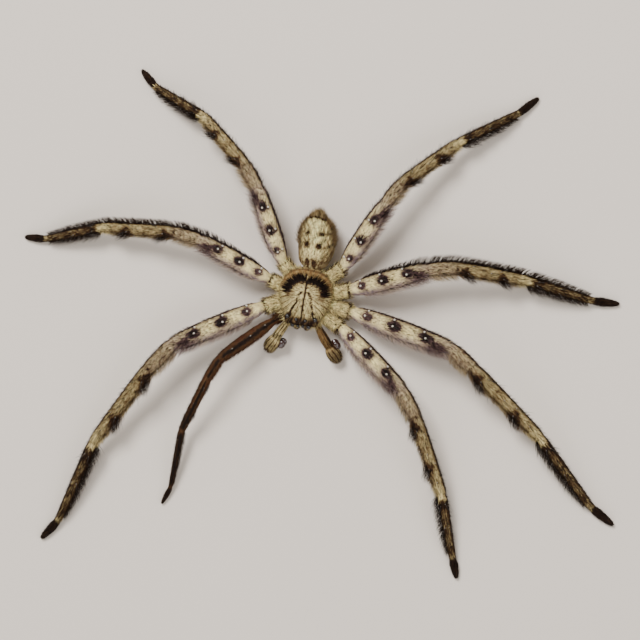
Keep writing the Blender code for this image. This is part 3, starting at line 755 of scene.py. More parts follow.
# %% Front body skin
def shield_rings(count=110, sides=96):
    """Half a ring is the back: x = w cos(a), z = rim + (top - rim) sin(a) to the 0.9. The other
    half is the flat underside: z = rim - (rim - base) x the square root of |sin a|. The last
    bit at each end is drawn in like the end of an egg. Grooves are pressed in, eyes raised."""
    way = np.linspace(0, math.pi, count)
    y = -SHIELD_END * np.cos(way) * (SHIELD_END - COAT_DEPTH) / SHIELD_END
    table = soften(sampled(y, SHIELD[:, 0], SHIELD[:, 1:]), 2.5)
    wide, top = table[:, 0] - COAT_DEPTH, table[:, 1] - COAT_DEPTH
    front = np.sqrt(1 - np.clip((-4.35 - y) / 0.34, 0, 0.98) ** 2)
    rear = np.sqrt(1 - np.clip((y - 4.1) / 0.6, 0, 0.98) ** 2)
    wide = wide * (0.35 + 0.65 * front) * (0.3 + 0.7 * rear)
    top = SHIELD_RIM + (top - SHIELD_RIM) * (0.25 + 0.75 * front) * (0.5 + 0.5 * rear)
    turn = full_turn(sides)
    sin = np.sin(turn)
    x = wide[:, None] * np.sign(np.cos(turn)) * np.abs(np.cos(turn)) ** 0.92
    back_height = (top[:, None] - SHIELD_RIM) * np.clip(sin, 0, 1) ** 0.9
    base_drop = (SHIELD_RIM - SHIELD_BASE - 0.05) * np.clip(-sin, 0, 1) ** 0.5
    z = SHIELD_RIM + back_height - base_drop
    rings = np.stack((x, np.broadcast_to(y[:, None], x.shape), z), axis=-1)
    plan = rings[..., :2].reshape(-1, 2)
    back_side = np.clip(sin, 0, 1)[None] * np.ones_like(x)
    pressed = 0.16 * ease(to_line(plan, MIDLINE), 0.35, 0.0)
    for groove in HEAD_GROOVES:
        pressed += 0.17 * ease(to_line(plan, groove), 0.5, 0.0)
    pressed += 0.22 * bell(np.hypot(plan[:, 0], plan[:, 1] - FOVEA[1]), 0, 0.35)
    for eye in EYES:
        raised = np.hypot(abs(plan[:, 0]) - eye.x, plan[:, 1] - eye.y)
        pressed -= 0.13 * bell(raised, 0, eye.radius + 0.18)
    rings[..., 2] -= pressed.reshape(x.shape) * ease(back_side, 0.1, 0.5)
    return rings[:, ::-1]


shield = shield_rings()
shield_values = shield_masks(shield.reshape(-1, 3))
shield_values = {name: value.reshape(shield.shape[:2]) for name, value in shield_values.items()}
skin_parts.append(tube(shield, shield_values))
print("shield width in mm:", round(float(np.ptp(shield[..., 0])), 2))

# %% [markdown]
# Under the shield a soft flank fills the space above the leg roots, and a heart-shaped plate
# closes the underside, with a small lip in front of it. These are squashed egg shapes.


# %% Underside
def egg(centre, half, count=40, sides=40, power=1.0):
    """Rings along y of an egg: x = a r cos(t), z = c r sin(t), with r the power of sin(way)."""
    way = np.linspace(0.02, math.pi - 0.02, count)
    turn = full_turn(sides)
    size = np.sin(way) ** power
    x = centre[0] + half[0] * size[:, None] * np.cos(turn)
    z = centre[2] + half[2] * size[:, None] * np.sin(turn)
    y = np.broadcast_to((centre[1] - half[1] * np.cos(way))[:, None], x.shape)
    return np.stack((x, y, z), axis=-1)[:, ::-1]


STERNUM = np.array(((-2.1, 1.1), (-1.5, 1.9), (-0.3, 2.35), (1.1, 2.2), (2.3, 1.4), (3.0, 0.55)))
sternum = egg((0, 0.45, 2.3), (1.0, 2.5, 0.8), power=0.6)
sternum[..., 0] *= np.interp(sternum[..., 1], STERNUM[:, 0], STERNUM[:, 1]) * 0.97
sternum[..., 2] = np.clip(sternum[..., 2], 1.5, 3.1)
flank = egg((0, 0, 3.0), (4.15, 4.55, 0.8), power=0.8)
lip = egg((0, -2.55, 2.15), (0.62, 0.62, 0.45), 20, 24)
skin_parts.append(tube(sternum, {"grey": 0.25, "tan": 0.35}))
skin_parts.append(tube(flank, {"grey": 0.35, "tan": 0.4, "dark": 0.25}))
skin_parts.append(tube(lip, {"grey": 0.2, "tan": 0.5, "dark": 0.3}))
print("underside width in mm:", round(float(np.ptp(sternum[..., 0])), 2))

# %% [markdown]
# The rear body is an oval carried along a line that swings slightly to one side, narrow at the
# waist. It has two pairs of dark dots above, grey flanks, and a dark arc before the tail tuft.

# %% Rear body
REAR = np.array((
    # y, half width, half height, middle height
    (3.3, 0.45, 0.45, 2.5), (4.6, 0.45, 0.45, 2.6), (5.2, 2.1, 1.35, 2.95), (5.9, 2.65, 1.85, 3.2),
    (7.3, 3.0, 2.2, 3.35), (9.2, 3.2, 2.35, 3.4), (11.0, 2.9, 2.15, 3.35), (12.2, 2.2, 1.7, 3.25),
    (12.9, 1.45, 1.15, 3.2), (13.3, 0.85, 0.7, 3.15),
))
REAR_SWING = 0.45
REAR_START = 3.3
REAR_END = 13.3
REAR_LENGTH = 10
REAR_SPOTS = (
    # x, y, half length across, half length along, strength
    (-0.92, 8.51, 0.30, 0.34, 1.2), (1.02, 8.36, 0.34, 0.34, 1.2),
    (-1.0, 10.32, 0.24, 0.24, 1.1), (1.29, 10.39, 0.42, 0.22, 1.0),
    (-1.71, 10.45, 0.55, 0.20, 0.5), (2.2, 10.55, 0.60, 0.22, 0.65),
    (-2.1, 8.04, 0.40, 0.45, 0.55), (1.86, 8.19, 0.35, 0.35, 0.5),
    (2.55, 8.5, 0.35, 0.50, 0.6), (2.0, 6.84, 0.35, 0.50, 0.55), (-1.9, 6.8, 0.35, 0.50, 0.45),
    (-0.55, 5.75, 0.33, 0.45, 1.15), (0.62, 5.6, 0.36, 0.50, 1.15),
    (-1.7, 5.9, 0.30, 0.45, 0.6), (1.8, 5.9, 0.30, 0.45, 0.7),
)
TAIL_ARC = ((-1.1, 12.75), (-0.5, 12.98), (0.4, 12.95), (1.35, 12.66))


def rear_middle(y):
    """The rear body's line: x = swing x sin squared of the way along it."""
    return REAR_SWING * np.sin(math.pi * (y - REAR_START) / REAR_LENGTH) ** 2


def rear_limb():
    """The rear body as a limb: its table of girths softened, and drawn in round at its end."""
    y = np.linspace(3.35, 13.2, 120)
    table = soften(sampled(y, REAR[:, 0], REAR[:, 1:]), 3.0)
    line = np.column_stack((rear_middle(y), y, table[:, 2]))
    end = np.sqrt(np.clip(1 - ((y - 12.6) / 0.62).clip(0, 1) ** 2, 0.05, 1))
    share = np.linspace(0, 1, len(y))
    girth = np.column_stack((share, (table[:, :2] - COAT_DEPTH) * end[:, None]))
    return carried(line, share, girth, 1, step=0.09, spread=1.0)


# %% Rear body colours
def rear_masks(points, angle):
    """Colours of the rear body: streaks run back with it, and spots are drawn as from above."""
    x, y, _ = points.T
    off = x - rear_middle(np.clip(y, REAR_START, REAR_END))
    top = ease(np.sin(np.radians(angle)), -0.1, 0.35)
    streak = 0.5 + 0.5 * ripple(off * 5.0 + 1.9 * np.sin(y * 2.3 + off), 31)
    fine = 0.5 + 0.5 * ripple(off * 9.0 + 2.4 * np.sin(y * 3.1 - off), 32)
    spots = max_of([
        s * bell(x, cx, wx * 1.6) * bell(y, cy, wy * 1.6) for cx, cy, wx, wy, s in REAR_SPOTS
    ])
    flank = ease(np.abs(off) / np.interp(y, REAR[:, 0], REAR[:, 1]), 0.5, 0.95)
    arc = ease(to_line(points[:, :2], TAIL_ARC), 0.28, 0.12)
    tail = ease(y, 12.3, 13.3)
    front = ease(y, 7.6, 5.6)
    centre = bell(off, 0.1, 1.1) * ease(y, 6.0, 8.0)
    dark = max_of([
        np.clip(spots * 1.35 - 0.1, 0, 1) * (0.7 + 0.3 * fine),
        0.9 * arc,
        0.62 * flank * (0.3 + 0.7 * streak),
        0.4 * tail,
        0.75 * ease(streak, 0.4, 0.8) * fine * (1 - 0.75 * centre),
        0.75 * front * ease(streak, 0.35, 0.7),
    ])
    grey = np.clip(0.6 * fine * (1 - centre) + 0.5 * flank + 0.25 * front + 0.5 * tail, 0, 1)
    return {
        "dark": np.clip(dark, 0, 1) * top + 0.2 * (1 - top),
        "grey": grey * top + 0.55 * (1 - top),
        "tan": 0.1 * tail + 0.12 * flank,
        "red": 0.1 * flank * ease(y, 10, 12),
        "streak": streak,
    }


# %% Rear body skin
rear = rear_limb()
rings, angle = rings_of(rear, 72)
values = rear_masks(rings.reshape(-1, 3), angle.ravel())
skin_parts.append(tube(rings, {name: value.reshape(angle.shape) for name, value in values.items()}))
print("rear body length in mm:", round(float(np.ptp(rings[..., 1])), 2))

# %% [markdown]
# Spinnerets, jaws and feelers are limbs too: a line, and a girth along it.


# %% Small limbs
def simple_limb(line, girth, side=1, step=0.12, spread=1.5):
    """A limb along a few corners. Its girth is given at even shares of the way along it."""
    line = np.array(line, dtype=float)
    run = run_along(line)
    return carried(line, run / run[-1], np.array(girth), side, step, spread)


TEAT_GIRTH = ((0.0, 0.3, 0.3), (0.5, 0.28, 0.28), (0.85, 0.2, 0.2), (1.0, 0.06, 0.06))
for x, z in ((0.32, 3.38), (-0.32, 3.38), (0.32, 2.92), (-0.32, 2.92)):
    teat = simple_limb(((x, 12.9, z), (x * 0.9, 13.8, z), (x * 0.5, 14.45, z)), TEAT_GIRTH)
    skin_parts.append(tube(rings_of(teat, 18)[0], {"grey": 0.5, "tan": 0.3, "dark": 0.45}))

# %% Jaws
JAW_LINE = (
    (0.86, -4.05, 3.7), (0.86, -4.15, 3.1), (0.86, -4.32, 2.7), (0.86, -4.48, 2.0),
    (0.86, -4.54, 1.28),
)
JAW_GIRTH = (
    # share, half depth front to back, half width
    (0.0, 0.6, 0.5), (0.25, 0.74, 0.6), (0.42, 0.86, 0.67), (0.7, 0.9, 0.67), (0.88, 0.74, 0.58),
    (0.97, 0.5, 0.4), (1.0, 0.15, 0.15),
)


def jaw_rings(side, sides=36):
    """A jaw is carried down a line: rings level with the ground, wide across and deep fore-aft."""
    line = np.array(JAW_LINE) * (side, 1, 1)
    share = np.linspace(0, 1, 40)
    rows = np.linspace(0, 1, len(line))
    middle = soften(sampled(share, rows, line), 2.0)
    size = np.array(JAW_GIRTH)
    deep = np.interp(share, size[:, 0], size[:, 1])[:, None] * 0.97
    wide = np.interp(share, size[:, 0], size[:, 2])[:, None] * 0.97
    turn = -full_turn(sides)
    x = middle[:, :1] + wide * np.cos(turn)
    y = middle[:, 1:2] + deep * np.sin(turn)
    return np.stack((x, y, np.broadcast_to(middle[:, 2:], x.shape)), axis=-1)


for side in (1, -1):
    rings = jaw_rings(side)
    low = ease(rings[..., 2], 3.2, 1.6)
    skin_parts.append(tube(rings, {"red": 0.75, "dark": 0.5 + 0.3 * low, "grey": 0.2}))
print("jaw height in mm:", round(float(np.ptp(rings[..., 2])), 2))

# %% [markdown]
# Each feeler starts at a jaw-like base under the head, rises over a knee and ends in the swollen
# tip of a male. The left one is tan with a dark streak, and the right one is cream with dark lines.

# %% Feelers
Palp = namedtuple("Palp", "side base heading femur shank tip bulb")
PALPS = {
    "left": Palp(1, (2.35, -4.05), -51, 2.4, 1.8, 2.9, (4.5, 1.1, 2.35)),
    "right": Palp(-1, (-2.3, -4.3), -118, 1.9, 1.3, 2.8, (3.55, 1.3, 2.2)),
}
PALP_HEIGHTS = (2.3, 3.5, 2.9, 1.5)
PALP_BASE = ((1.0, -2.75, 1.95), (1.65, -3.08, 1.95))
PALP_GIRTH = np.array((
    # station, half width, half height
    (0.0, 0.33, 0.36), (1.0, 0.35, 0.38), (2.0, 0.5, 0.48), (3.0, 0.78, 0.6), (4.0, 0.72, 0.54),
    (4.15, 1.06, 0.68), (4.45, 1.24, 0.74), (4.75, 1.06, 0.62), (4.94, 0.6, 0.4), (5.0, 0.15, 0.12),
))


def palp_limb(palp):
    """A feeler's line goes out level by its lengths and up and down by its heights."""
    heading = math.radians(palp.heading)
    forward = np.array((math.cos(heading), math.sin(heading), 0.0))
    joints = [np.array(corner) * (palp.side, 1, 1) for corner in PALP_BASE]
    joints.append(np.array((*palp.base, PALP_HEIGHTS[0])))
    for run, height in zip((palp.femur, palp.shank, palp.tip), PALP_HEIGHTS[1:]):
        after = joints[-1] + forward * run
        after[2] = height
        joints.append(after)
    joints = np.array(joints)
    station = np.linspace(0, 5, 151)
    line = sampled(station, np.arange(6), joints)
    limb = carried(line, station, PALP_GIRTH, palp.side, step=0.1, spread=2.0)
    slim = 0.93 * (1 - 0.16 * bell(limb.station, 4.0, 0.06) - 0.1 * bell(limb.station, 3.0, 0.06))
    return limb._replace(wide=limb.wide * slim, high=limb.high * slim)


def palp_masks(name, station, angle):
    """Lengthwise lines by angle. The left feeler is tan, and both tips are mottled grey."""
    shift = 1.0 if name == "left" else 0.0
    lines = 0.5 + 0.5 * np.sin(np.radians(angle * 9) + 0.8 * np.sin(station * 3) + shift)
    tip = ease(station, 4.0, 4.3)
    streak = round_bell(angle, 40, 26) * ease(station, 1.6, 2.2) * (1 - ease(station, 4.2, 4.5))
    if name == "left":
        dark = max_of([
            0.7 * ease(lines, 0.5, 0.9) * (1 - tip), streak, tip * (0.25 + 0.7 * ease(lines, 0.4, 0.8)),
        ])
        tan = 0.9 * (1 - tip) + 0.3 * tip
        red = (0.22 + 0.3 * lines) * (1 - tip)
        return {"dark": dark, "grey": 0.6 * tip, "tan": tan, "red": red, "streak": lines}
    dark = max_of([
        ease(lines, 0.55, 0.85) * (1 - 0.2 * tip), 0.15 * tip, 0.75 * ease(station, 4.65, 4.95),
    ])
    red = 0.1 * (1 - tip)
    return {"dark": dark, "grey": 0.2 + 0.2 * tip, "tan": 0.25, "red": red, "streak": lines}


# %% Feeler skin
PALP_LIMBS = {name: palp_limb(palp) for name, palp in PALPS.items()}
for name, limb in PALP_LIMBS.items():
    rings, angle = rings_of(limb, 36)
    station = np.broadcast_to(limb.station[:, None], angle.shape)
    skin_parts.append(tube(rings, palp_masks(name, station, angle)))
print("skin parts:", len(skin_parts))

# %% [markdown]
# ## One colour recipe for skin and hair
# Eight numbers travel with each point: how dark, grey, tan, red and lilac it is, a streak, how far
# along a hair it lies, and a chance number. The recipe starts from cream, lays grey, tan, red and
# dark over it, and adds fine noise, so that no two hairs match. The skin alone gets a bump,
# because hair is real shape.

# %% Skin and coat finishes
CREAM = paint("fce8a6")
LILAC = paint("9a8688")
KHAKI = paint("857453")
OCHRE = paint("8f6c3a")
RUSSET = paint("4c1d0d")
PLUM = paint("614846")
EARTH = paint("553a22")
UMBER = paint("150b07")


def coat_colour(wire, place):
    """Cream, then grey, tan, red and dark over it, each by its mask with a little noise added.
    Grey is khaki or lilac. Half dark is earth or plum brown, and full dark is nearly black."""
    patchy = wire.noise(place, 900.0) - 0.5
    fine = wire.noise(place, 3000.0) - 0.5
    streak = wire.attribute("streak") - 0.5
    lilac = wire.attribute("lilac")
    grey = wire.blend(KHAKI, LILAC, lilac)
    greyness = wire.attribute("grey") + patchy * 0.5 - streak * 0.5
    colour = wire.blend(CREAM, grey, greyness.clipped())
    colour = wire.blend(colour, OCHRE, (wire.attribute("tan") + patchy * 0.25).clipped())
    colour = wire.blend(colour, RUSSET, (wire.attribute("red") + fine * 0.3).clipped())
    dark = wire.attribute("dark")
    uneven = dark + dark * (1 - dark) * (fine * 1.6 + (wire.attribute("lot") - 0.5) * 1.2 + streak)
    colour = wire.blend(colour, wire.blend(EARTH, PLUM, lilac), (uneven * 1.6).clipped())
    return wire.blend(colour, UMBER, (uneven * 1.9 - 0.93).clipped()), fine, streak


skin_finish, wire, place, shader = new_material("spider_skin")
colour, fine, streak = coat_colour(wire, place)
shade = 0.78 + fine * 0.3 + streak * 0.3
connect(shader, "Base Color", wire.blend(colour, shade, 1.0, "MULTIPLY"))
connect(shader, "Roughness", (0.74 + fine * 0.3).clipped())
shader.inputs["Specular IOR Level"].default_value = 0.12
grain = {"Height": wire.noise(place, 5200.0), "Strength": 0.5, "Distance": 0.0001}
connect(shader, "Normal", wire.node("ShaderNodeBump", None, grain, out="Normal"))

coat_finish, wire, place, shader = new_material("spider_coat")
colour, fine, streak = coat_colour(wire, place)
shade = 0.7 + wire.attribute("along") * 0.4 + (wire.attribute("lot") - 0.5) * 1.1
shade = shade + streak * 1.3 + fine * 2.0
shade = (shade * 0.78).clipped() * 1.5
connect(shader, "Base Color", wire.blend(colour, shade, 1.0, "MULTIPLY"))
connect(shader, "Roughness", (0.68 + fine * 0.3).clipped())
shader.inputs["Specular IOR Level"].default_value = 0.1

# %% Make the skin
LEG_PARTS = ("coxa", "femur", "tibia", "metatarsus", "tarsus")
LEG_NODES = [f"leg_{name}_{part}" for name in LEGS for part in LEG_PARTS]
BODY_NODES = ["carapace", "sternum", "abdomen", "spinnerets", "chelicera_left", "chelicera_right"]
PALP_NODES = [f"palp_{name}_{part}" for name in PALPS for part in ("arm", "tip")]
make_piece("skin", join(skin_parts), skin_finish, LEG_NODES + BODY_NODES + PALP_NODES)

# %% [markdown]
# ## Eyes, fangs and feeler bulbs
# These are hard and glossy. The eyes are true spheres sunk in the head: a sphere is a circle of
# latitude carried from pole to pole. The fangs are curved cones folded inwards below the jaws.


# %% Hard parts
def ball(centre, radius, count=20, sides=28):
    """A sphere: rings at height r cos(p) with radius r sin(p)."""
    polar = np.linspace(0.06, math.pi - 0.06, count)
    turn = full_turn(sides)
    x = radius * np.sin(polar)[:, None] * np.cos(turn)
    y = radius * np.sin(polar)[:, None] * np.sin(turn)
    z = np.broadcast_to(-radius * np.cos(polar)[:, None], x.shape)
    return np.stack((x, y, z), axis=-1) + centre


eye_finish, wire, place, shader = new_material("eye_gloss")
deep = wire.noise(place, 2500.0)
connect(shader, "Base Color", wire.blend(paint("0a0809"), paint("1c120e"), deep))
connect(shader, "Roughness", 0.05 + deep * 0.08)
shader.inputs["Specular IOR Level"].default_value = 0.35
shader.inputs["Coat Weight"].default_value = 0.3
shader.inputs["Coat Roughness"].default_value = 0.03
eyes = []
for side in (1, -1):
    for eye in EYES:
        eyes.append(tube(ball((side * eye.x, eye.y, eye.z), eye.radius), {}))
eye_nodes = [f"eye_{eye.row}_{name}" for eye in EYES for name in ("left", "right")]
make_piece("eyes", join(eyes), eye_finish, eye_nodes)

# %% Fangs
horn_finish, wire, place, shader = new_material("fang_horn")
mottle = wire.noise(place, 1500.0)
connect(shader, "Base Color", wire.blend(paint("120b0c"), paint("3a1c14"), mottle))
connect(shader, "Roughness", 0.16 + mottle * 0.2)
shader.inputs["Coat Weight"].default_value = 0.5
FANG_LINE = (
    (1.24, -4.62, 0.95), (1.26, -4.66, 0.62), (1.0, -4.62, 0.4), (0.6, -4.45, 0.36), (0.3, -4.32, 0.44),
)
FANG_GIRTH = (
    (0.0, 0.27, 0.27), (0.3, 0.25, 0.25), (0.6, 0.17, 0.17), (0.9, 0.07, 0.07), (1.0, 0.02, 0.02),
)
fangs = []
for side in (1, -1):
    fang = simple_limb(np.array(FANG_LINE) * (side, 1, 1), FANG_GIRTH, side, step=0.05)
    fangs.append(tube(rings_of(fang, 16)[0], {}))
make_piece("fangs", join(fangs), horn_finish, ("fang_left", "fang_right"))

# %% Feeler bulbs
THREAD_GIRTH = ((0.0, 0.12, 0.12), (0.6, 0.08, 0.08), (1.0, 0.02, 0.02))
bulbs = []
for name, palp in PALPS.items():
    heading = math.radians(palp.heading)
    forward = np.array((math.cos(heading), math.sin(heading), 0.0))
    sideways = np.cross(UP, forward)
    along, across, height = palp.bulb
    middle = np.array((*palp.base, 0.0)) + forward * along + sideways * across
    middle[2] = height
    sphere = ball((0, 0, 0), 1.0, 30, 36)
    dent = 1 - 0.07 * np.cos(6 * sphere[..., 0] + 4 * sphere[..., 2])
    shape = sphere[..., :1] * forward * 0.98 + sphere[..., 1:2] * sideways * 0.67
    shape = shape + sphere[..., 2:] * UP * 0.58
    bulbs.append(tube(middle + shape * dent[..., None], {}))
    coil = np.linspace(0, 1.6 * math.pi, 30)
    line = middle + np.outer(0.86 * np.cos(coil), forward) + np.outer(0.57 * np.sin(coil), sideways)
    line[:, 2] = middle[2] - 0.35 + 0.1 * coil
    thread = simple_limb(line, THREAD_GIRTH, step=0.06)
    bulbs.append(tube(rings_of(thread, 10)[0], {}))
make_piece("palp_bulbs", join(bulbs), horn_finish)

# %% [markdown]
# ## One tuft, many tufts
# A tuft is a thin three-sided spike that bends once: a ring at its root, one half way, and its
# tip. Hair curves would be lost when the model is exported, so each tuft is solid. All tufts of
# a piece are worked out together, as arrays with one row per tuft.

# %% Tufts
Field = namedtuple("Field", "root out lie length width lift droop masks u v")
PATCH = 0.0015
MAP_MARGIN = 0.003
ROOT_DEPTH = 0.06
LOWEST = 0.015
TUFT_POINTS = 7
FIRST_STEP = 0.7548776662
SECOND_STEP = 0.5698402910


def scatter(count, seed):
    """Even but irregular pairs in the unit square: steps of 0.7549 and 0.5698, and a jitter."""
    draw = np.random.default_rng(seed)
    number = np.arange(count)
    first = (0.5 + number * FIRST_STEP) % 1
    second = (0.5 + number * SECOND_STEP) % 1
    jitter = draw.normal(0, 0.35 / math.sqrt(count), (2, count))
    return (first + jitter[0]) % 1, (second + jitter[1]) % 1, draw


def tufts(field):
    """Root ring, middle ring and tip of each tuft. It leaves the skin at its lift angle, a way of
    cos(lift) lie + sin(lift) out, and bends by its droop half way. Rings are flat triangles."""
    count = len(field.root)
    side = unit(np.cross(field.lie, field.out))

    def way(angle):
        """The way of a hair at an angle to the skin."""
        turn = np.radians(angle)[:, None]
        return np.cos(turn) * field.lie + np.sin(turn) * field.out

    first, second = way(field.lift), way(field.lift - field.droop)
    length, width = field.length[:, None], field.width[:, None]
    start = field.root - ROOT_DEPTH * field.out
    bend = start + first * length * 0.5
    tip = bend + second * length * 0.5
    rows = []
    for middle, axis, share in ((start, first, 1.0), (bend, (first + second) / 2, 0.75)):
        over = np.cross(axis, side)
        for turn in (-30, 90, 210):
            turn = math.radians(turn)
            off = math.cos(turn) * side + 0.5 * math.sin(turn) * over
            rows.append(middle + off * width * share * 0.5)
    points = np.stack(rows + [tip], axis=1)
    points[..., 2] = np.maximum(points[..., 2], LOWEST)
    base = np.arange(count)[:, None, None] * TUFT_POINTS
    quads = base + np.array(((0, 1, 4, 3), (1, 2, 5, 4), (2, 0, 3, 5)))
    triangles = base + np.array(((3, 4, 6), (4, 5, 6), (5, 3, 6), (2, 1, 0)))
    values = {}
    for name in MASKS:
        value = np.broadcast_to(field.masks.get(name, USUAL.get(name, 0.0)), count)
        values[name] = np.repeat(value, TUFT_POINTS)
    values["along"] = np.tile((0, 0, 0, 0.5, 0.5, 0.5, 1), count)
    across = np.tile((-1, 0, 1, -1, 0, 1, 0), count) * PATCH
    upward = np.tile((-1, -1, -1, 0, 0, 0, 1), count) * PATCH
    values["u"] = np.repeat(np.clip(field.u, MAP_MARGIN, 1 - MAP_MARGIN), TUFT_POINTS) + across
    values["v"] = np.repeat(np.clip(field.v, MAP_MARGIN, 1 - MAP_MARGIN), TUFT_POINTS) + upward
    return Patch(points.reshape(-1, 3), quads.reshape(-1, 4), triangles.reshape(-1, 3), values)


def swerve(lie, out, degrees):
    """Each way turned within the skin by an angle: cos(a) lie + sin(a) (out x lie)."""
    turn = np.radians(degrees)[:, None]
    return np.cos(turn) * lie + np.sin(turn) * np.cross(out, lie)


def coat_of(fields):
    """One patch from several fields of tufts."""
    return join([tufts(field) for field in fields])


# %% [markdown]
# ## The coat of a leg
# Short hair covers each leg from hip to toe and lies towards the foot. A row of dark bristles
# stands along the rear edge, softer grey hair hangs from the front edge, a dense brush cushions
# the sole, and loose hair rounds the hips. The bristles are strongest on the third legs, as the
# picture shows.

# %% Leg coats
REAR_EDGE = 18
FRONT_EDGE = 192
HAIR_MIDDLE = 0.32
USUAL_FRINGE = 0.62
FRINGE_STRENGTH = {"left_3": 1.2, "right_3": 1.1, "left_4": 0.8, "right_4": 0.8, "right_1": 0.45}


Roots = namedtuple("Roots", "root out lie station masks u v")


def roots_on_leg(name, span, angles, sway, count, seed, crowd=1.0):
    """Chance roots on a span of the leg and of angles round it, each hair swayed by some degrees.
    They have the colours of half a hair further on. A crowd below 1 fills the far end more."""
    first, second, draw = scatter(count, seed)
    limb = LIMBS[name]
    rows = np.linspace(0, 1, len(limb.station))
    low, high = np.interp(span, limb.station, rows)
    run = low + (high - low) * first ** crowd
    angle = angles[0] + (angles[1] - angles[0]) * second
    root, out, along, station = places_on(limb, run, angle)
    ahead = np.interp(run + HAIR_MIDDLE / (STEP * len(rows)), rows, limb.station)
    ahead = ahead + draw.normal(0, 0.02, count)
    masks = masks_for(name, ahead, (angle + draw.normal(0, 5, count)) % 360)
    masks["lot"] = draw.uniform(0, 1, count)
    lie = swerve(along, out, draw.normal(0, sway, count))
    return Roots(root, out, lie, station, masks, run, (angle % 360) / 360), draw


def grow(roots, length, width, lift, droop):
    """The field of tufts on these roots. The droop is a share of the lift."""
    width = np.broadcast_to(width, length.shape)
    return Field(*roots[:3], length, width, lift, lift * droop, *roots[4:])


# %% [markdown]
# The five kinds of hair differ in where their roots are, how far they sway, and how long, wide
# and raised they are. Each kind is a short function of its own, so that one can be changed alone.


# %% Five kinds of leg hair
def short_hair(name, count, seed):
    """Hair of mixed lengths from hip to toe, a little raised on both."""
    roots, draw = roots_on_leg(name, (0.35, 5.97), (0, 360), 9, count, seed)
    girth, station = LEGS[name].girth, roots.station
    at = (0.3, 0.9, 1.1, 1.5, 3, 4, 5.3, 6)
    length = girth * np.interp(station, at, (0.9, 0.8, 0.6, 0.8, 0.8, 0.7, 0.65, 0.3))
    length *= draw.uniform(0.75, 1.3, count)
    width = draw.uniform(0.08, 0.145, count) * girth
    lift = draw.uniform(8, 30, count) + 18 * (station < 0.97) + 16 * bell(station, 5.25, 0.3)
    return grow(roots, length, width, lift, 0.5)


def rear_bristles(name, count, seed):
    """A comb of dark bristles along the rear edge, with tall ones among the short."""
    strength = FRINGE_STRENGTH.get(name, USUAL_FRINGE)
    angles = (REAR_EDGE - 22, REAR_EDGE + 16)
    roots, draw = roots_on_leg(name, (1.2, 4.92), angles, 3.5, count, seed)
    lot = roots.masks["lot"]
    roots.masks.update({"dark": 0.95, "red": 1.0 if name == "right_1" else 0.4})
    at = (1.2, 1.5, 1.95, 4.4, 4.92)
    length = 1.5 * strength * np.interp(roots.station, at, (0.3, 0.5, 1.0, 0.9, 0.6))
    tall = lot > (0.55 if strength > 1 else 0.85)
    length *= np.where(tall, draw.uniform(0.9, 1.05, count), 0.3 + 0.4 * lot)
    lift = draw.normal(60, 5, count)
    width = np.where(tall & (strength > 1), 0.14, 0.085)
    return grow(roots, length, width, lift, 0.25)


def front_hair(name, count, seed):
    """Soft grey hair from the front edge, longer and dark beside the shin's blotches."""
    angles = (FRONT_EDGE - 36, FRONT_EDGE + 14)
    roots, draw = roots_on_leg(name, (1.15, 4.92), angles, 12, count, seed)
    girth, station, masks = LEGS[name].girth, roots.station, roots.masks
    share = station - np.floor(station)
    patches = max_of([
        bell(share, 0.15, 0.09) * (station >= 3),
        bell(share, 0.67, 0.09) * (station >= 3) * (station < 4),
        (station >= 4) * 0.85,
        0.35 * bell(station, 1.86, 0.14),
    ])
    masks["dark"] = np.maximum(masks["dark"] * 0.6, np.clip(1.4 * patches, 0, 0.95))
    masks["grey"] = np.maximum(masks["grey"], np.interp(station, (2.9, 3.3), (0.7, 0.5)))
    at = (1.15, 1.4, 1.9, 3, 4, 4.6, 4.92)
    length = girth * np.interp(station, at, (0.9, 1.3, 1.6, 1.4, 1.5, 1.35, 0.8))
    length *= draw.uniform(0.5, 1.35, count) * np.where(station > 2.9, 0.6 + 0.7 * patches, 1.0)
    if name == "right_1":
        length = length * 0.6
    return grow(roots, length, 0.075 * girth, draw.normal(50, 10, count), 0.4)


def sole_brush(name, count, seed):
    """Short dense hair under the foot and round the blunt end of the toe."""
    roots, draw = roots_on_leg(name, (4.3, 5.99), (150, 390), 14, count, seed, crowd=0.8)
    roots.masks.update({"dark": 0.85, "grey": 0.4})
    girth = LEGS[name].girth
    end = ease(roots.station, 5.75, 5.95)
    length = girth * (0.36 - 0.16 * end) * draw.uniform(0.8, 1.2, count)
    lift = draw.normal(42, 8, count) * (1 - 0.45 * end)
    return grow(roots, length, 0.075 * girth, lift, 0.3)


def hip_fluff(name, count, seed):
    """Loose cream hair round the rounded hip lobes, standing out to all sides."""
    roots, draw = roots_on_leg(name, (0.3, 0.97), (0, 360), 55, count, seed)
    masks = roots.masks
    masks["dark"] = masks["dark"] * 0.4 + 0.6 * masks["lot"] ** 3
    length = LEGS[name].girth * draw.uniform(0.5, 1.1, count)
    return grow(roots, length, 0.08, draw.uniform(20, 60, count), 0.4)


# %% Make the leg coats
THIN = 1.0
FULL_LEG = 52
REGROWN_SIZE = 1.2
LEG_MAKERS = (short_hair, rear_bristles, front_hair, sole_brush, hip_fluff)
LEG_TUFTS = (8000, 1300, 3300, 800, 400)
THIRD_LEG_TUFTS = (8000, 2700, 3300, 800, 400)
for number, (name, leg) in enumerate(LEGS.items()):
    size = sum(leg.runs) / FULL_LEG * (REGROWN_SIZE if name == "right_1" else math.sqrt(leg.girth))
    amounts = THIRD_LEG_TUFTS if name.endswith("3") else LEG_TUFTS
    fields = [
        make(name, int(THIN * size * amount), 100 * number + order)
        for order, (make, amount) in enumerate(zip(LEG_MAKERS, amounts))
    ]
    slot = "red_brown_fur" if name == "right_1" else "leg_fur"
    make_piece(f"coat_leg_{name}", coat_of(fields), coat_finish)

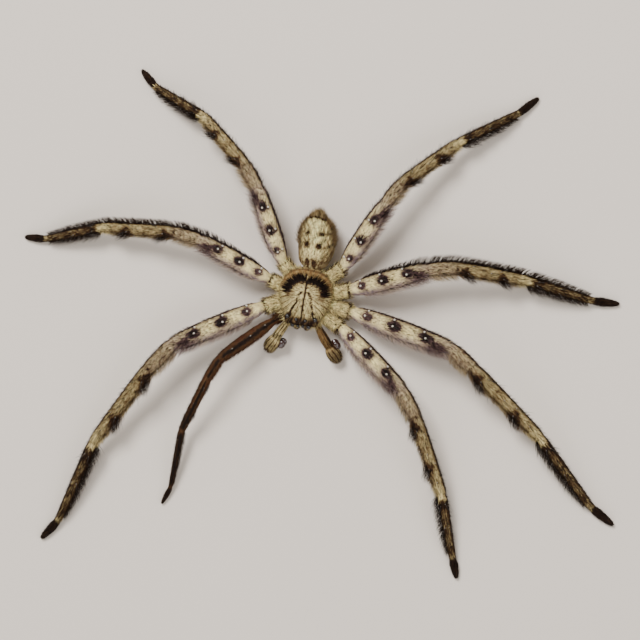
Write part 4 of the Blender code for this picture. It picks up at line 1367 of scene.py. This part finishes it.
# %% [markdown]
# ## The coat of the body
# On the shield the hair is silky and fans out from the middle groove. The black crescent is made
# of longer, ragged tufts. On the rear body hair runs backwards, stands out as a soft brown fringe
# at the sides, and ends in an olive tuft over the spinnerets.


# %% Front body coat
BODY_TUFTS = {
    "shield": 16000, "flank": 3000, "rear": 15000, "fringe": 1500, "tail": 900, "feeler": 3000,
    "jaw": 1100,
}


def amount_on(place):
    """How many tufts a place of the body gets."""
    return int(THIN * BODY_TUFTS[place])


def grid_places(rings, first, second):
    """Places and ways out on a grid of rings, by shares along and round it. A place is mixed
    from the four corners round it, and the way out is the cross product of the two slopes."""
    count, sides = rings.shape[:2]
    row, column = first * (count - 1), second * sides
    i, j = np.floor(row).astype(int).clip(0, count - 2), np.floor(column).astype(int) % sides
    f, g = (row - i)[:, None], (column - np.floor(column))[:, None]
    after = (j + 1) % sides
    a, b, c, d = rings[i, j], rings[i + 1, j], rings[i, after], rings[i + 1, after]
    point = (a * (1 - f) + b * f) * (1 - g) + (c * (1 - f) + d * f) * g
    out = np.cross((c - a) + (d - b), (b - a) + (d - c))
    out /= np.linalg.norm(out, axis=1, keepdims=True) + 1e-9
    return point, out


def facing_out(root, out, centre):
    """The ways out, turned round where they point towards a centre: out . (root - centre) < 0."""
    return np.where(np.sum(out * (root - centre), axis=1, keepdims=True) < 0, -out, out)


def level_with(out, wish):
    """The part of a wished way that lies in the skin: wish - (wish . out) out, made unit long."""
    lie = wish - np.sum(wish * out, axis=1, keepdims=True) * out
    return lie / (np.linalg.norm(lie, axis=1, keepdims=True) + 1e-9)


def shield_hair(count, seed):
    """Hair that fans out from the groove: short near the eyes and rim, longer on the crescent."""
    first, second, draw = scatter(count, seed)
    way = 0.5 - 0.5 * np.cos(math.pi * (0.04 + 0.92 * first))
    root, out = grid_places(shield, np.arccos(1 - 2 * way) / math.pi, second)
    back_side = root[:, 2] > 3.75
    root, out, first, second = (field[back_side] for field in (root, out, first, second))
    count = len(root)
    masks = shield_masks(root)
    spread = root - (0.0, FOVEA[1], 3.0)
    lie = level_with(out, spread * (1, 1, 0.0) + (0, -0.35, 0) * ease(root[:, 1], 0.0, -3.0)[:, None])
    lie = swerve(lie, out, draw.normal(0, 10, count))
    tufted = ease(to_lines(root[:, :2], CRESCENTS), 0.6, 0.3) * (masks["dark"] > 0.5)
    head = ease(root[:, 1], -2.8, -3.8)
    rim = masks["tan"] > 0.6
    length = (0.6 + 0.3 * tufted - 0.2 * head) * np.where(rim & (head < 0.1), 0.4, 1.0)
    length *= draw.uniform(0.75, 1.25, count)
    near_eye = max_of([
        bell(np.hypot(abs(root[:, 0]) - eye.x, root[:, 1] - eye.y), 0, eye.radius + 0.1) for eye in EYES
    ])
    length *= 1 - 0.75 * near_eye
    lift = draw.uniform(8, 22, count) + 18 * tufted + 6 * head
    masks = shield_masks(root + 0.45 * length[:, None] * lie)
    masks["lot"] = draw.uniform(0, 1, count)
    return Field(root, out, lie, length, np.full(count, 0.08), lift, lift * 0.5, masks, first, second)


def flank_hair(count, seed):
    """Fluffy cream hair that fills the space between the shield's edge and the leg roots."""
    first, second, draw = scatter(count, seed)
    root, out = grid_places(flank, 0.12 + 0.76 * first, second)
    out = facing_out(root, out, (0, 0, 3.0))
    dark = 0.5 * draw.uniform(0, 1, count) ** 2
    masks = {"grey": 0.25, "tan": 0.1, "dark": dark, "lot": draw.uniform(0, 1, count)}
    lie = level_with(out, root * (1, 1, 0) + (0, 0, 0.6))
    lie = swerve(lie, out, draw.normal(0, 30, count))
    lift = draw.uniform(15, 50, count)
    length = draw.uniform(0.8, 1.7, count)
    return Field(root, out, lie, length, np.full(count, 0.08), lift, lift * 0.5, masks, first, second)


fields = [shield_hair(amount_on("shield"), 901), flank_hair(amount_on("flank"), 902)]
make_piece("coat_front_body", coat_of(fields), coat_finish)


# %% Rear body coat
def rear_hair(count, seed, long):
    """Short hair all over, or the long fringe of the sides and tail."""
    first, second, draw = scatter(count, seed)
    run = 0.12 + 0.87 * first if not long else 0.5 + 0.49 * first ** 0.7
    angle = 360 * second
    if long:
        angle = np.where(second < 0.5, 150 * second - 38, 150 * (second - 0.5) + 143)
    root, out, along, _ = places_on(rear, run, angle)
    lie = swerve(along, out, draw.normal(0, 10, count))
    length = draw.uniform(0.5, 0.95, count)
    masks = rear_masks(root + 0.45 * length[:, None] * lie, angle % 360)
    masks["lot"] = draw.uniform(0, 1, count)
    lift = draw.uniform(8, 26, count)
    width = draw.uniform(0.07, 0.12, count)
    if long:
        lie = swerve(along, out, draw.normal(0, 26, count))
        masks["dark"] = 0.3 + 0.35 * masks["lot"]
        masks["tan"] = np.full(count, 0.5)
        masks["grey"] = np.full(count, 0.5)
        length = draw.uniform(0.7, 1.5, count)
        lift = draw.normal(42, 14, count)
        width = np.full(count, 0.05)
    return Field(root, out, lie, length, width, lift, lift * 0.5, masks, run, (angle % 360) / 360)


def tail_tuft(count, seed):
    """Long olive hair from the end of the rear body back over the spinnerets."""
    first, second, draw = scatter(count, seed)
    run, angle = 0.95 + 0.045 * first, 360 * second
    root, out, along, _ = places_on(rear, run, angle)
    masks = rear_masks(root, angle % 360)
    masks["lot"] = draw.uniform(0, 1, count)
    masks["dark"] = 0.1 + 0.55 * masks["lot"]
    masks["tan"] = np.full(count, 0.35)
    masks["grey"] = np.full(count, 0.6)
    lie = swerve(along, out, draw.normal(0, 9, count))
    length = draw.uniform(0.7, 1.6, count) + draw.uniform(0, 1, count) * first
    lift = draw.normal(6, 11, count)
    return Field(root, out, lie, length, np.full(count, 0.08), lift, lift * 0.5, masks, run, second)


fields = [
    rear_hair(amount_on("rear"), 911, False),
    rear_hair(amount_on("fringe"), 912, True),
    tail_tuft(amount_on("tail"), 913),
]
make_piece("coat_rear_body", coat_of(fields), coat_finish)


# %% Feeler and jaw coat
def palp_hair(name, count, seed):
    """Short hair on the feelers. Each has one quarter of the piece's map."""
    first, second, draw = scatter(count, seed)
    limb = PALP_LIMBS[name]
    span = np.interp((1.3, 4.97), limb.station, np.linspace(0, 1, len(limb.station)))
    run = span[0] + (span[1] - span[0]) * first
    angle = 360 * second
    root, out, along, station = places_on(limb, run, angle)
    masks = palp_masks(name, station, angle % 360)
    masks["lot"] = draw.uniform(0, 1, count)
    lie = swerve(along, out, draw.normal(0, 12, count))
    length = np.interp(station, (1.5, 3.5, 4.2, 5.0), (0.4, 0.55, 0.6, 0.5))
    length *= draw.uniform(0.75, 1.25, count)
    lift = draw.uniform(10, 30, count)
    v = second * 0.5 + (0.5 if name == "left" else 0.0)
    return Field(root, out, lie, length, np.full(count, 0.07), lift, lift * 0.5, masks, 0.5 * run, v)


def jaw_hair(side, count, seed):
    """Short red brown hair that runs down the jaws, on strips of the map's other half."""
    first, second, draw = scatter(count, seed)
    rings = jaw_rings(side)
    root, out = grid_places(rings, 0.1 + 0.82 * first, second)
    out = facing_out(root, out, (side * 0.86, -4.4, 2.3))
    lie = swerve(level_with(out, np.array((0.0, -0.2, -1.0)) + 0 * out), out, draw.normal(0, 10, count))
    masks = {"red": 0.6, "dark": 0.72, "grey": 0.35, "tan": 0.2, "lot": draw.uniform(0, 1, count)}
    length = draw.uniform(0.35, 0.6, count)
    lift = draw.uniform(10, 26, count)
    u = 0.5 + 0.25 * first + (0.25 if side > 0 else 0.0)
    return Field(root, out, lie, length, np.full(count, 0.06), lift, lift * 0.5, masks, u, second)


fields = [palp_hair("left", amount_on("feeler"), 921), palp_hair("right", amount_on("feeler"), 922)]
fields += [jaw_hair(1, amount_on("jaw"), 923), jaw_hair(-1, amount_on("jaw"), 924)]
make_piece("coat_face", coat_of(fields), coat_finish)

# %% [markdown]
# ## Spines
# Stiff dark spines stand among the hair, and those beside the thigh's blotches rise from a socket
# painted pale as a highlight, the glint of the spine's base. They are the same bent spikes as the tufts,
# only thicker, longer and pale at the base, which is painted highlight too.

# %% Spines
SPINES = (
    # station, angle from the rear edge, length
    (1.17, 100, 1.5), (1.17, 62, 1.5), (1.44, 104, 1.6),
    (1.43, 62, 1.8), (1.75, 104, 1.7), (1.72, 62, 1.9),
    (1.3, 30, 1.4), (1.58, 28, 1.5), (1.4, 150, 1.5), (1.68, 152, 1.5),
    (3.14, 120, 1.7), (3.2, 56, 1.8), (3.46, 92, 1.6), (3.64, 124, 1.8), (3.6, 56, 1.8), (3.84, 90, 1.5),
    (3.3, 170, 1.8), (3.7, 172, 1.7), (3.3, 5, 1.8), (3.7, 8, 1.7),
    (4.16, 60, 1.7), (4.16, 122, 1.7), (4.5, 60, 1.5), (4.5, 122, 1.5), (4.2, 172, 1.6), (4.2, 8, 1.6),
)
SOCKET_RADIUS = 0.18
REGROWN_SOCKET_RADIUS = 0.07


def spine_rows(name):
    """A leg's rows of the table. The regrown leg has every second one."""
    return np.array(SPINES)[::2] if name == "right_1" else np.array(SPINES)


def beside_blotch(rows):
    """Whether each spine stands high on the thigh, where the blotches are."""
    return (rows[:, 0] < 2) & (abs(rows[:, 1] - 82) < 30)


# %% Make the spines
spine_finish, wire, place, shader = new_material("spine_horn")
# The pale base of each spine is a painted highlight, the glint of a spine's base seen end on.
tip_dark = (wire.attribute("along") * 7.0 - 0.3).clipped()
connect(shader, "Base Color", wire.blend(paint("e4dfd2"), paint("17100f"), tip_dark))
connect(shader, "Roughness", 0.25 + wire.noise(place, 2000.0) * 0.15)
fields = []
sockets = []
for number, (name, leg) in enumerate(LEGS.items()):
    limb = LIMBS[name]
    draw = np.random.default_rng(500 + number)
    rows = spine_rows(name)
    count = len(rows)
    station = rows[:, 0] + draw.normal(0, 0.008, count)
    run = np.interp(station, limb.station, np.linspace(0, 1, len(limb.station)))
    roll = np.where(beside_blotch(rows), blotch_roll(name), 0)
    root, out, along, _ = places_on(limb, run, rows[:, 1] - roll + draw.normal(0, 3, count))
    lie = swerve(along, out, draw.normal(0, 8, count))
    length = rows[:, 2] * leg.girth * draw.uniform(0.85, 1.15, count)
    lift = draw.normal(46, 6, count)
    width = np.full(count, 0.14 * leg.girth)
    fields.append(Field(root, out, lie, length, width, lift, lift * 0.25, {}, run, rows[:, 1] / 360))
    radius = REGROWN_SOCKET_RADIUS if name == "right_1" else SOCKET_RADIUS
    for place_on_skin in (root + 0.05 * out)[beside_blotch(rows)]:
        sockets.append(tube(ball(place_on_skin, radius, 8, 10), {}))
make_piece("spines", coat_of(fields), spine_finish)

# The sockets' pale colour is a painted highlight, the glint at a spine's base.
socket_glint_finish, wire, place, shader = new_material("spine_socket")
connect(shader, "Base Color", wire.blend(paint("d9d2c2"), paint("a59a8b"), wire.noise(place, 4000.0)))
connect(shader, "Roughness", 0.7 + wire.noise(place, 3000.0) * 0.2)
make_piece("spine_sockets", join(sockets), socket_glint_finish)
